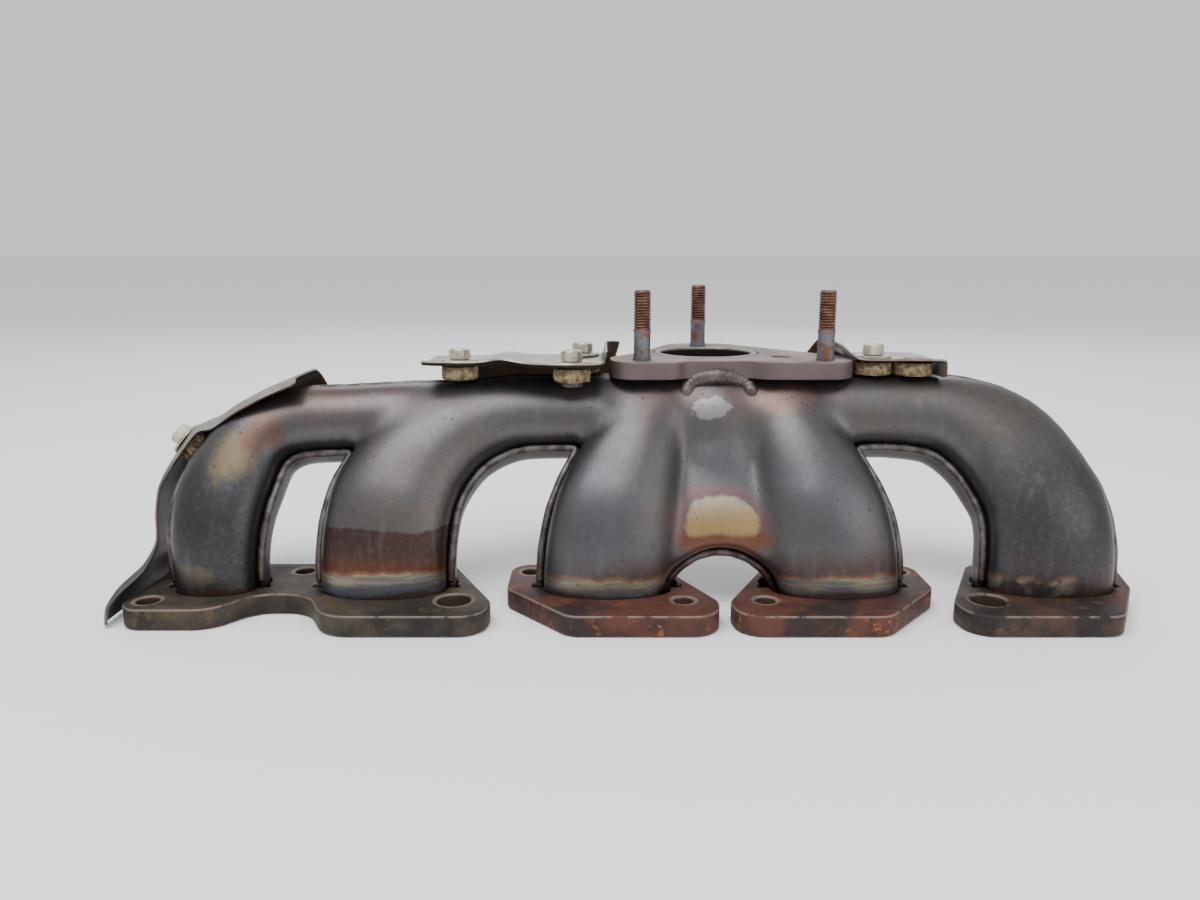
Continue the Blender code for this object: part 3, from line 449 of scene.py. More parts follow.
def surface_net(field, low, high, step, fixed):
    """Points and quads on the zero surface. fixed holds rows of cells on a plane."""
    counts = [int(round((b - a) / step)) + 1 for a, b in zip(low, high)]
    axes = [a + step * np.arange(n) for a, n in zip(low, counts)]
    grid = np.stack(np.meshgrid(*axes, indexing="ij"), -1)
    values = sampled(field, grid, step)
    cells = tuple(n - 1 for n in counts)
    total = np.zeros((*cells, 3))
    hits = np.zeros(cells)
    for axis in range(3):
        others = [k for k in range(3) if k != axis]
        for corner in ((0, 0), (0, 1), (1, 0), (1, 1)):
            start = [0, 0, 0]
            start[others[0]], start[others[1]] = corner
            near = tuple(slice(s, s + n) for s, n in zip(start, cells))
            start[axis] = 1
            far = tuple(slice(s, s + n) for s, n in zip(start, cells))
            a, b = values[near], values[far]
            crossed = (a < 0) != (b < 0)
            part = np.where(crossed, a / np.where(crossed, a - b, 1), 0)
            place = grid[near] + part[..., None] * (grid[far] - grid[near])
            total += np.where(crossed[..., None], place, 0)
            hits += crossed
    used = hits > 0
    index = np.full(cells, -1)
    index[used] = np.arange(used.sum())
    points = total[used] / hits[used][:, None]
    cell_of = np.argwhere(used)
    held = np.zeros((len(points), 3), bool)
    for (axis, cell), value in fixed.items():
        rows = cell_of[:, axis] == cell % cells[axis]
        points[rows, axis] = value
        held[rows, axis] = True
    quads = []
    for axis in range(3):
        b, c = [k for k in range(3) if k != axis]
        inner = [slice(0, n) for n in cells]
        inner[b] = slice(1, cells[b])
        inner[c] = slice(1, cells[c])
        ahead = list(inner)
        ahead[axis] = slice(1, cells[axis] + 1)
        rising = values[tuple(inner)] < 0
        places = np.argwhere(rising != (values[tuple(ahead)] < 0))
        ring = []
        for db, dc in ((1, 1), (0, 1), (0, 0), (1, 0)):
            corner = places.copy()
            corner[:, b] += 1 - db
            corner[:, c] += 1 - dc
            ring.append(index[tuple(corner.T)])
        ring = np.stack(ring, 1)
        whole = (ring.min(axis=1) >= 0) & ~held[ring].all(axis=1).any(axis=1)
        outward = rising[tuple(places.T)] != (axis == 1)
        quads.append(np.where(outward[:, None], ring, ring[:, ::-1])[whole])
    quads = np.concatenate(quads)
    return settle(field, points, quads, held, step), quads, held


def settle(field, points, quads, held, step, rounds=7):
    """Even out a net and lay it on the zero surface. A point held on a plane slides in it."""
    pairs = np.concatenate([quads[:, [k, (k + 1) % 4]] for k in range(4)])
    pairs = np.concatenate([pairs, pairs[:, ::-1]])
    pairs = pairs[~(held[pairs[:, 0]] & ~held[pairs[:, 1]]).any(axis=1)]
    share = np.maximum(np.bincount(pairs[:, 0], minlength=len(points)), 1)[:, None]
    for turn in range(rounds):
        if turn < rounds - 1:
            pull = np.zeros_like(points)
            np.add.at(pull, pairs[:, 0], points[pairs[:, 1]] - points[pairs[:, 0]])
            pull[held] = 0
            points = points + 0.5 * pull / share
        here = field(points)
        slope = np.empty_like(points)
        for axis in range(3):
            nudge = np.zeros(3)
            nudge[axis] = 1e-5
            slope[:, axis] = (field(points + nudge) - here) / 1e-5
        slope[held] = 0
        move = here[:, None] * slope / (np.sum(slope ** 2, axis=1)[:, None] + 1e-9)
        points = points - np.clip(move, -step / 3, step / 3)
    return points


# ---------------------------------------------------------------- pieces
def new_piece(name, mesh, material, replaced=(), angle=40):
    """A finished piece in the row frame that rides on the root body."""
    mesh.materials.clear()
    mesh.materials.append(material)
    obj = bpy.data.objects.new(name, mesh)
    bpy.context.scene.collection.objects.link(obj)
    mesh.shade_smooth()
    mesh.set_sharp_from_angle(angle=math.radians(angle))
    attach(obj, "root")
    if replaced:
        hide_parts(*replaced)
    return obj


def mesh_of(points, faces, matrix=None):
    """A mesh from layout points; matrix places it in the layout frame first."""
    mesh = bpy.data.meshes.new("shape")
    mesh.from_pydata([tuple(p) for p in points], [], [tuple(int(k) for k in f) for f in faces])
    mesh.transform(Matrix.Translation(OFFSET) @ (matrix or Matrix()))
    return mesh


def tidy_mesh(mesh, join=2e-6):
    bm = bmesh.new()
    bm.from_mesh(mesh)
    bmesh.ops.remove_doubles(bm, verts=bm.verts, dist=join)
    bmesh.ops.delete(bm, geom=[v for v in bm.verts if not v.link_faces], context="VERTS")
    bmesh.ops.recalc_face_normals(bm, faces=bm.faces)
    bm.to_mesh(mesh)
    bm.free()
    return mesh


def evaluated_mesh(obj):
    """The mesh of an object after its modifiers. The object goes."""
    bpy.context.scene.collection.objects.link(obj)
    depsgraph = bpy.context.evaluated_depsgraph_get()
    mesh = bpy.data.meshes.new_from_object(obj.evaluated_get(depsgraph))
    bpy.data.objects.remove(obj)
    return mesh


def end_share(points):
    """How far a point is into the part of the last branch that swells to the rear."""
    share = 1.0
    for axis, start, reach in END_RAMPS:
        t = np.clip((points[:, axis] - start) / reach, 0, 1)
        share = share * t * t * (3 - 2 * t)
    return share


def fine_shell(name, material, rear):
    """One half shell at fine detail. Returns its open net too, for the seam."""
    step = FINE_STEP
    foot = SHELL_FOOT - step / 2
    if rear:
        low = (NET_LEFT, foot, RIM + step / 2 - REAR_LAYERS * step)
        high = (NET_RIGHT, NET_TOP, RIM + step / 2)
        fixed = {(2, -1): RIM, (1, 0): SHELL_FOOT}
        offset, swell = LAP_GAP, END_SWELL
    else:
        low = (NET_LEFT, foot, -TUCK - step / 2)
        high = (NET_RIGHT, NET_TOP, -TUCK + FRONT_DEPTH)
        fixed = {(2, 0): -TUCK, (1, 0): SHELL_FOOT}
        offset, swell = 0.0, 0.0
    net = surface_net(lambda p: body_field(p) - offset - swell * end_share(p), low, high, step, fixed)
    points, quads = net[:2]
    places = to_layout(points)
    reach = np.hypot(*(places[:, :2] - np.array(TURBO_PORT)).T)
    lost = (reach < NECK_CUT) & (places[:, 2] > NECK_TOP)
    kept = quads[~lost[quads].any(axis=1)]
    used = np.unique(kept)
    renamed = np.full(len(points), -1)
    renamed[used] = np.arange(len(used))
    places = places[used]
    ceiling = TURBO_TOP - TURBO_THICK - 0.0002
    places[:, 2] = np.minimum(places[:, 2], ceiling)
    carrier = bpy.data.objects.new(name, mesh_of(places, renamed[kept]))
    solid = carrier.modifiers.new("sheet", "SOLIDIFY")
    solid.thickness = SHEET
    solid.offset = 1.0 if rear else -1.0
    solid.use_even_offset = True
    node = name.removesuffix("_fine")
    new_piece(name, tidy_mesh(evaluated_mesh(carrier)), material, (node,), 60)
    return net


def seam_lines(net):
    """The front shell's edge as open chains of points on the parting surface."""
    points, quads, held = net
    edges = np.concatenate([quads[:, [k, (k + 1) % 4]] for k in range(4)])
    edges = np.sort(edges, axis=1)
    unique, count = np.unique(edges, axis=0, return_counts=True)
    rim = unique[(count == 1) & held[unique, 2].all(axis=1)]
    beside = {}
    for a, b in rim:
        beside.setdefault(int(a), []).append(int(b))
        beside.setdefault(int(b), []).append(int(a))
    chains = []
    seen = set()
    ends = [k for k, near in beside.items() if len(near) == 1]
    for start in ends + list(beside):
        if start in seen:
            continue
        chain = [start]
        seen.add(start)
        while True:
            ahead = [k for k in beside[chain[-1]] if k not in seen]
            if not ahead:
                break
            chain.append(ahead[0])
            seen.add(ahead[0])
        chains.append(points[chain])
    return chains


def resampled(path, spacing):
    gaps = np.linalg.norm(np.diff(path, axis=0), axis=1)
    along = np.concatenate([[0.0], np.cumsum(gaps)])
    count = max(4, int(along[-1] / spacing))
    marks = np.linspace(0, along[-1], count)
    return np.stack([np.interp(marks, along, path[:, k]) for k in range(3)], 1)


def eased(path, rounds):
    path = path.copy()
    for _ in range(rounds):
        path[1:-1] = 0.5 * path[1:-1] + 0.25 * (path[:-2] + path[2:])
    return path


def ring_faces(rings, around):
    """Faces of a tube of rings with so many points each, and a cap at both ends."""
    faces = []
    for k in range(rings - 1):
        for n in range(around):
            m = (n + 1) % around
            faces.append((k * around + n, k * around + m, (k + 1) * around + m, (k + 1) * around + n))
    faces.append(tuple(range(around))[::-1])
    faces.append(tuple((rings - 1) * around + n for n in range(around)))
    return faces


def tube(path, radius, sides=10, ripple=0.0, pitch=0.0016):
    """A bead along a path with rounded ends and the ripples that a weld leaves."""
    path = np.asarray(path)
    count = len(path)
    tangents = np.gradient(path, axis=0)
    tangents /= np.linalg.norm(tangents, axis=1)[:, None]
    side = np.cross(tangents[0], (0.0, 0.0, 1.0))
    if np.linalg.norm(side) < 0.1:
        side = np.cross(tangents[0], (0.0, 1.0, 0.0))
    along = np.concatenate([[0.0], np.cumsum(np.linalg.norm(np.diff(path, axis=0), axis=1))])
    turns = np.arange(sides) * 2 * math.pi / sides
    rows = []
    for k in range(count):
        side = side - tangents[k] * (side @ tangents[k])
        side /= np.linalg.norm(side)
        up = np.cross(side, tangents[k])
        edge = min(along[k], along[-1] - along[k]) / radius
        end = math.sqrt(max(0.04, 1 - (1 - min(edge, 1.0)) ** 2))
        size = radius * end * (1 + ripple * math.sin(along[k] * 2 * math.pi / pitch))
        rows.append(path[k] + size * (np.cos(turns)[:, None] * side + np.sin(turns)[:, None] * up))
    return np.concatenate(rows), ring_faces(count, sides)


def joined(parts):
    """Several (points, faces) lists as one."""
    points, faces, start = [], [], 0
    for some, rings in parts:
        points.extend(some)
        faces.extend(tuple(k + start for k in ring) for ring in rings)
        start += len(some)
    return points, faces


SEAM_BEAD = 0.0018                # radius of the seam's weld
SEAM_OUT = 0.0020                 # its distance outside the front shell's edge
SEAM_STEP = 0.0014
SHORTEST = 8                      # points in the shortest run of weld


def seam_beads(net):
    """The weld that runs along the whole seam, outside the front shell's edge."""
    parts = []
    for chain in seam_lines(net):
        if len(chain) < SHORTEST:
            continue
        line = eased(resampled(chain, SEAM_STEP), 6)
        nudge = 1e-5
        level = line.copy()
        level[:, 2] = RIM
        here = body_field(level)
        slopes = [(body_field(level + np.eye(3)[k] * nudge) - here) / nudge for k in (0, 1)]
        grow = np.stack(slopes, 1)
        grow /= np.linalg.norm(grow, axis=1)[:, None] + 1e-9
        level[:, :2] += grow * SEAM_OUT
        level = eased(level, 3)
        places = to_layout(level)
        high = places[:, 2]
        under = np.hypot(*(places[:, :2] - np.array(TURBO_PORT)).T) < NECK_RADIUS + 0.005
        good = (high > HEAD_THICK + 0.001) & (high < 0.0962) & ~(under & (high > 0.093))
        run = []
        for place, fine in list(zip(places, good)) + [(None, False)]:
            if fine:
                run.append(place)
                continue
            if len(run) > SHORTEST:
                parts.append(tube(run, SEAM_BEAD, ripple=0.05))
            run = []
    return parts


def front_y(x, z):
    """Where the front of the shells is, at a place seen from the front."""
    y = -0.04
    for _ in range(200):
        gap = body_field(from_layout(np.array([[x, y, z]])))[0]
        if gap < 0.0002:
            return y
        y += max(0.0002, min(gap, 0.004) * 0.6)
    return y


# The arched weld below the front of the turbocharger flange: x, z, depth into the shell (mm).
NECK_BEAD = (
    (0.0395, 0.0885, 0.5),
    (0.0385, 0.0925, 0.2),
    (0.0415, 0.0962, 0.0),
    (0.0470, 0.0982, -0.4),
    (0.0535, 0.0988, -0.6),
    (0.0600, 0.0982, -0.4),
    (0.0655, 0.0960, 0.0),
    (0.0685, 0.0920, 0.2),
    (0.0672, 0.0885, 0.5),
)
NECK_BEAD_RADIUS = 0.0038
NECK_BEAD_DEPTH = 0.0024
SHELL_BROW = 0.0950               # the front of the shell is followed up to here
BROW_Y = 0.0262


def neck_bead():
    """The weld along the arch, half sunk into the front shell."""
    path = []
    for x, z, sink in NECK_BEAD:
        y = front_y(x, min(z, SHELL_BROW))
        if z > SHELL_BROW:
            y = min(y, BROW_Y)
        path.append((x, y + NECK_BEAD_DEPTH + sink * 0.001, z))
    path = eased(resampled(np.array(path), 0.0009), 8)
    return [tube(path, NECK_BEAD_RADIUS, 16, ripple=0.05, pitch=0.0026)]


HEAD_EDGE = 0.0008                # bevels of the flanges
TURBO_EDGE = 0.0006


def bevelled_plate(node, outlines, bottom, thickness, material, edge):
    """A plate with softened edges, as one filled 2D curve."""
    name = node + "_fine"
    curve = bpy.data.curves.new(name, "CURVE")
    curve.dimensions = "2D"
    curve.fill_mode = "BOTH"
    curve.extrude = thickness / 2 - edge
    curve.bevel_depth = edge
    curve.bevel_resolution = 2
    curve.offset = -edge
    for outline in outlines:
        spline = curve.splines.new("POLY")
        spline.points.add(len(outline) - 1)
        for point, place in zip(spline.points, outline):
            point.co = (place.x, place.y, 0, 1)
        spline.use_cyclic_u = True
    mesh = evaluated_mesh(bpy.data.objects.new(name, curve))
    bpy.data.curves.remove(curve)
    mesh.transform(Matrix.Translation(OFFSET + Vector((0, 0, bottom + thickness / 2))))
    return new_piece(name, tidy_mesh(mesh, 1e-6), material, (node,), 30)


def turned(section, segments=64, matrix=None):
    """A turned body: its closed section (radius, height) spun about Z."""
    turns = np.arange(segments) * 2 * math.pi / segments
    points = [(r * math.cos(t), r * math.sin(t), z) for t in turns for r, z in section]
    size = len(section)
    faces = []
    for k in range(segments):
        n = (k + 1) % segments
        for j in range(size):
            i = (j + 1) % size
            faces.append((k * size + j, n * size + j, n * size + i, k * size + i))
    mesh = mesh_of(points, faces, matrix)
    return tidy_mesh(mesh)


def soft_ring(outer, inner, bottom, top, edge):
    """Section of a ring with chamfered corners."""
    return [(outer - edge, top), (outer, top - edge), (outer, bottom + edge), (outer - edge, bottom),
            (inner + edge, bottom), (inner, bottom + edge), (inner, top - edge), (inner + edge, top)]


THREAD_PITCH = 0.00125
THREAD_LENGTH = 0.0180
THREAD_DEPTH = 0.00075
THREAD_RUN_OUT = 0.001
STUD_SIDES = 40


def threaded_stud(number, x, y, material):
    """A stud with a rolled thread at its upper end and a plain waist below."""
    thread_from = STUD_TOP - THREAD_LENGTH
    heights = [TURBO_TOP - TURBO_THICK, TURBO_TOP]
    z = TURBO_TOP + 0.001
    while z < STUD_TOP - 1e-6:
        heights.append(z)
        z += THREAD_PITCH / 10 if z > thread_from - THREAD_RUN_OUT else 0.002
    heights.append(STUD_TOP)
    points = []
    for z in heights:
        for n in range(STUD_SIDES):
            phase = (z / THREAD_PITCH - n / STUD_SIDES) % 1.0
            groove = THREAD_DEPTH * max(0.0, 1 - abs(phase - 0.5) / 0.42)
            depth = groove * min(1.0, max(0.0, (z - thread_from) / THREAD_RUN_OUT))
            tip = max(0.0, z - (STUD_TOP - 0.0011)) * 0.8
            waist = 0.00025 if TURBO_TOP + 0.0015 < z < thread_from else 0.0
            radius = min(STUD_RADIUS - depth - waist, STUD_RADIUS - tip)
            t = 2 * math.pi * n / STUD_SIDES
            points.append((radius * math.cos(t), radius * math.sin(t), z))
    faces = ring_faces(len(heights), STUD_SIDES)
    mesh = mesh_of(points, faces, Matrix.Translation((x, y, 0)))
    node = f"turbo_stud_{number}"
    new_piece(node + "_fine", mesh, material, (node,), 50)


def smoothed_stations(stations, per_span=4):
    """Sections between a shield's own ones, partly on a curve and partly on straight lines."""
    keys = np.array([(x, z, *out, near, far, skirt) for x, z, out, near, far, skirt in stations])
    sections = []
    for k, (a, b) in enumerate(zip(keys, keys[1:])):
        before = keys[max(k - 1, 0)]
        after = keys[min(k + 2, len(keys) - 1)]
        for t in np.arange(per_span) / per_span:
            flat = a + (b - a) * t
            sections.append(0.6 * curve_point(before, a, b, after, t) + 0.4 * flat)
    sections.append(keys[-1])
    return sections


# A shield's section. The near edge curls: share of the curl, distance from the edge. The far
# edge bends down into the skirt: depth below the sheet, distance from the edge.
NEAR_CURL = ((1.0, -0.0008), (0.45, 0.0012), (0.1, 0.0036), (0.0, 0.0070))
FAR_BEND = ((0.0, -0.0080), (0.0008, -0.0045), (0.0028, -0.0018), (0.0065, -0.0002))
BEND_DEPTH = FAR_BEND[-1][0]


def fine_shield(node, stations, material, curl):
    """A pressed shield with its near edge curled and its rear skirt turned down."""
    rows = []
    for x, z, nx, nz, near, far, skirt in smoothed_stations(stations):
        out = Vector((nx, 0, nz)).normalized()
        first = Vector((x, near, z))
        last = Vector((x, far, z))
        row = [first + out * curl * share + Y_AXIS * aside for share, aside in NEAR_CURL]
        start = row[-1]
        bend = [last - out * depth + Y_AXIS * aside for depth, aside in FAR_BEND]
        row += [start.lerp(bend[0], t) for t in (0.25, 0.5, 0.75)]
        half = BEND_DEPTH + max(skirt - BEND_DEPTH, 0.0) / 2
        row += [*bend, last - out * half + Y_AXIS * 0.001]
        row.append(last - out * max(skirt, BEND_DEPTH + 0.0003) + Y_AXIS * 0.002)
        rows.append(row)
    width = len(rows[0])
    points = [p for row in rows for p in row]
    faces = []
    for k in range(len(rows) - 1):
        for n in range(width - 1):
            a = k * width + n
            faces.append((a, a + width, a + width + 1, a + 1))
    carrier = bpy.data.objects.new(node, mesh_of(points, faces))
    subdivision = carrier.modifiers.new("smooth", "SUBSURF")
    subdivision.levels = 1
    subdivision.render_levels = 1
    solid = carrier.modifiers.new("sheet", "SOLIDIFY")
    solid.thickness = SHIELD_SHEET
    solid.offset = 0.0
    mesh = tidy_mesh(evaluated_mesh(carrier))
    new_piece(node + "_fine", mesh, material, (node,), 50)


def aim(place, axis):
    """A frame at a place whose Z axis points along the axis."""
    turn = Vector(axis).normalized().to_track_quat("Z", "Y")
    return Matrix.Translation(place) @ turn.to_matrix().to_4x4()


PAD_WIRE = 0.00019                # radius of the wire


def knitted_pad(name, place, axis, material):
    """A pad pressed from knitted wire: loops of fine wire that weave round a soft core."""
    draw = random.Random(name)
    parts = []
    section = []
    for t in np.arange(16) * 2 * math.pi / 16:
        out = 0.00125 * math.cos(t) * (1 + 0.18 * math.cos(t) ** 2)
        rise = (PAD_HEIGHT / 2 - 0.0003) * math.sin(t)
        section.append(((PAD_RADIUS + PAD_BORE) / 2 + out, PAD_HEIGHT / 2 + rise))
    for _ in range(26):
        lobes = draw.randint(9, 17)
        phase = draw.uniform(0, 2 * math.pi)
        middle = draw.uniform(0.2, 0.8) * PAD_HEIGHT
        swing = min(middle, PAD_HEIGHT - middle) * draw.uniform(0.75, 0.98)
        path = []
        for t in np.arange(130) * 2 * math.pi / 129:
            z = middle + swing * math.sin(lobes * t + phase)
            belly = 1 - (abs(z / PAD_HEIGHT - 0.5) * 2) ** 4 * 0.10
            r = (PAD_RADIUS - 0.0003) * belly + 0.00022 * math.cos(2 * lobes * t + phase)
            path.append((r * math.cos(t), r * math.sin(t), z))
        parts.append(tube(np.array(path), PAD_WIRE, 5))
    for n in range(14):
        height = PAD_HEIGHT - 0.0002 if n % 2 else 0.0002
        reach = draw.uniform(0.35, 0.9)
        lobes = draw.randint(7, 13)
        phase = draw.uniform(0, 2 * math.pi)
        path = []
        for t in np.arange(110) * 2 * math.pi / 109:
            share = reach + (0.95 - reach) * 0.9 * math.sin(lobes * t + phase)
            r = PAD_BORE + (PAD_RADIUS - PAD_BORE) * share
            path.append((r * math.cos(t), r * math.sin(t), height))
        parts.append(tube(np.array(path), PAD_WIRE, 5))
    frame_here = aim(place, axis)
    node = f"mesh_pad_{name}"
    core = turned(section, 40, frame_here)
    new_piece(node + "_core", core, material, (node,))
    wires = mesh_of(*joined(parts), frame_here)
    new_piece(node + "_wire", wires, material)


# Rings of a bolt's head: share of its height, share of its width.
HEAD_RINGS = ((0.0, 0.985), (0.0004, 1.0), (0.72, 1.0), (0.90, 1.0), (1.0, 0.93), (1.0, 0.86),
              (0.93, 0.72), (0.93, 0.0))


def hex_bolt(name, place, axis, base, material):
    """A bolt: a shank below a hexagon head with a turned chamfer and a dished top."""
    radius = HEX_ACROSS_FLATS / math.sqrt(3)
    around = 48
    turns = [2 * math.pi * n / around for n in range(around)]
    points = []
    for height in (0.0, base):
        points += [(SHANK_RADIUS * math.cos(t), SHANK_RADIUS * math.sin(t), height) for t in turns]
    for level, share in HEAD_RINGS:
        chamfer = radius * (1.02 - 0.95 * max(0.0, level - 0.72) * 0.55)
        for t in turns:
            side = radius * math.cos(math.pi / 6) / math.cos((t % (math.pi / 3)) - math.pi / 6)
            r = min(side, chamfer) * share
            points.append((r * math.cos(t), r * math.sin(t), base + level * HEX_HEIGHT))
    faces = ring_faces(len(HEAD_RINGS) + 2, around)[:-1]
    node = f"bolt_{name}"
    mesh = tidy_mesh(mesh_of(points, faces, aim(place, axis)))
    new_piece(node + "_fine", mesh, material, (node,), 28)


# ---------------------------------------------------------------- materials
class Paint:
    """A material's node graph. Inputs may be numbers, colours or other nodes' outputs."""

    def __init__(self, name, metallic, roughness, specular=0.5):
        self.material = bpy.data.materials.new(name)
        self.material.use_nodes = True
        self.tree = self.material.node_tree
        self.shader = self.tree.nodes["Principled BSDF"]
        self.feed(self.shader.inputs["Metallic"], metallic)
        self.feed(self.shader.inputs["Roughness"], roughness)
        self.shader.inputs["Specular IOR Level"].default_value = specular
        coordinate = self.add("ShaderNodeTexCoord").outputs["Object"]
        self.place = self.vector("ADD", coordinate, tuple(-OFFSET))[0]
        split = self.add("ShaderNodeSeparateXYZ", {0: self.place})
        self.x, self.y, self.z = split.outputs
        self.relief = None
        self.colour = None

    def add(self, kind, inputs=None, **settings):
        node = self.tree.nodes.new(kind)
        for key, value in settings.items():
            setattr(node, key, value)
        for key, value in (inputs or {}).items():
            self.feed(node.inputs[key], value)
        return node

    def feed(self, socket, value):
        if isinstance(value, bpy.types.NodeSocket):
            self.tree.links.new(value, socket)
        elif hasattr(value, "__len__") and len(value) == 3 and socket.type == "RGBA":
            socket.default_value = (*value, 1.0)
        else:
            socket.default_value = value

    def math(self, operation, a, b=0.0):
        return self.add("ShaderNodeMath", {0: a, 1: b}, operation=operation).outputs[0]

    def noise(self, scale, detail=4.0, rough=0.55, stretch=(1, 1, 1), shift=0.0):
        place = self.add("ShaderNodeMapping", {"Vector": self.place, "Scale": stretch,
                                               "Location": (shift, shift, shift)}).outputs[0]
        inputs = {"Vector": place, "Scale": scale, "Detail": detail, "Roughness": rough}
        return self.add("ShaderNodeTexNoise", inputs).outputs["Fac"]

    def step(self, value, low, high):
        """0 below low, 1 above high, smooth between. low may be above high."""
        flip = low > high
        inputs = {"Value": value, "From Min": min(low, high), "From Max": max(low, high)}
        if flip:
            inputs.update({"To Min": 1.0, "To Max": 0.0})
        node = self.add("ShaderNodeMapRange", inputs, interpolation_type="SMOOTHSTEP")
        return node.outputs["Result"]

    def mix(self, amount, a, b, blend="MIX"):
        node = self.add("ShaderNodeMix", data_type="RGBA", blend_type=blend)
        self.feed(node.inputs[0], amount)
        self.feed(node.inputs[6], a)
        self.feed(node.inputs[7], b)
        return node.outputs[2]

    def both(self, *masks):
        total = masks[0]
        for mask in masks[1:]:
            total = self.math("MULTIPLY", total, mask)
        return total

    def lay(self, colour, *amounts):
        """Lay a colour on top, as strongly as the product of masks and numbers."""
        self.colour = self.mix(self.both(*amounts), self.colour, colour)

    def plus(self, base, value, amount):
        return self.math("ADD", base, self.math("MULTIPLY", value, amount))

    def vector(self, operation, a, b=(0, 0, 0)):
        return self.add("ShaderNodeVectorMath", {0: a, 1: b}, operation=operation).outputs

    def reach(self, x, y):
        """Distance from an upright line."""
        away = self.vector("SUBTRACT", self.place, (x, y, 0))[0]
        return self.vector("LENGTH", self.vector("MULTIPLY", away, (1, 1, 0))[0])["Value"]

    def spot(self, centre, size, wobble, inner=0.55, outer=1.1):
        """A soft-edged patch about a place in the layout frame. wobble is a signed noise."""
        away = self.vector("SUBTRACT", self.place, centre)[0]
        length = self.vector("LENGTH", self.vector("DIVIDE", away, size)[0])["Value"]
        return self.step(self.math("ADD", length, wobble), outer, inner)

    def bump(self, height, strength, distance):
        inputs = {"Height": height, "Strength": strength, "Distance": distance}
        node = self.add("ShaderNodeBump", inputs)
        if self.relief is not None:
            self.tree.links.new(self.relief, node.inputs["Normal"])
        self.relief = node.outputs[0]
        self.feed(self.shader.inputs["Normal"], self.relief)

    def finish(self, roughness=None):
        self.feed(self.shader.inputs["Base Color"], self.colour)
        if roughness is not None:
            self.feed(self.shader.inputs["Roughness"], roughness)
        return self.material


GOLD = (0.21, 0.105, 0.045)
MAROON = (0.050, 0.025, 0.022)
VIOLET = (0.135, 0.080, 0.085)
BLUE_GREY = (0.088, 0.090, 0.097)
BROWN_GREY = (0.092, 0.081, 0.075)
CHARCOAL = (0.036, 0.035, 0.037)
# Painted reflection: colour of the bright patch on top of the collector.
SILVER_REFLECTION = (0.24, 0.23, 0.225)
RUST = (0.23, 0.075, 0.028)
ORANGE = (0.42, 0.15, 0.03)
# Soot and painted shade: the near black of the insides seen down the port.
SOOT_AND_SHADE = (0.014, 0.012, 0.011)

# Patches of tint on the front, and one painted reflection: the silver patch on top of the
# collector. Each is: colour, centre, size, share of wobble, inner and outer edge, amount.
PATCHES = (
    ((0.15, 0.12, 0.065), (-0.1610, 0.018, 0.066), (0.0125, 0.04, 0.0125), 1.0, 0.55, 1.1, 0.8),
    ((0.12, 0.062, 0.045), (-0.1490, 0.020, 0.075), (0.011, 0.03, 0.010), 1.0, 0.55, 1.1, 0.7),
    ((0.13, 0.105, 0.075), (-0.1750, -0.010, 0.018), (0.011, 0.03, 0.006), 1.0, 0.55, 1.1, 0.6),
    # Painted reflection, not a tint: the light reflected on top of the collector.
    (SILVER_REFLECTION, (0.0500, 0.020, 0.0855), (0.0115, 0.03, 0.0055), 1.6, 0.65, 0.85, 0.85),
    ((0.17, 0.105, 0.088), (0.0820, 0.020, 0.0890), (0.016, 0.03, 0.0065), 1.5, 0.6, 1.0, 0.6),
)


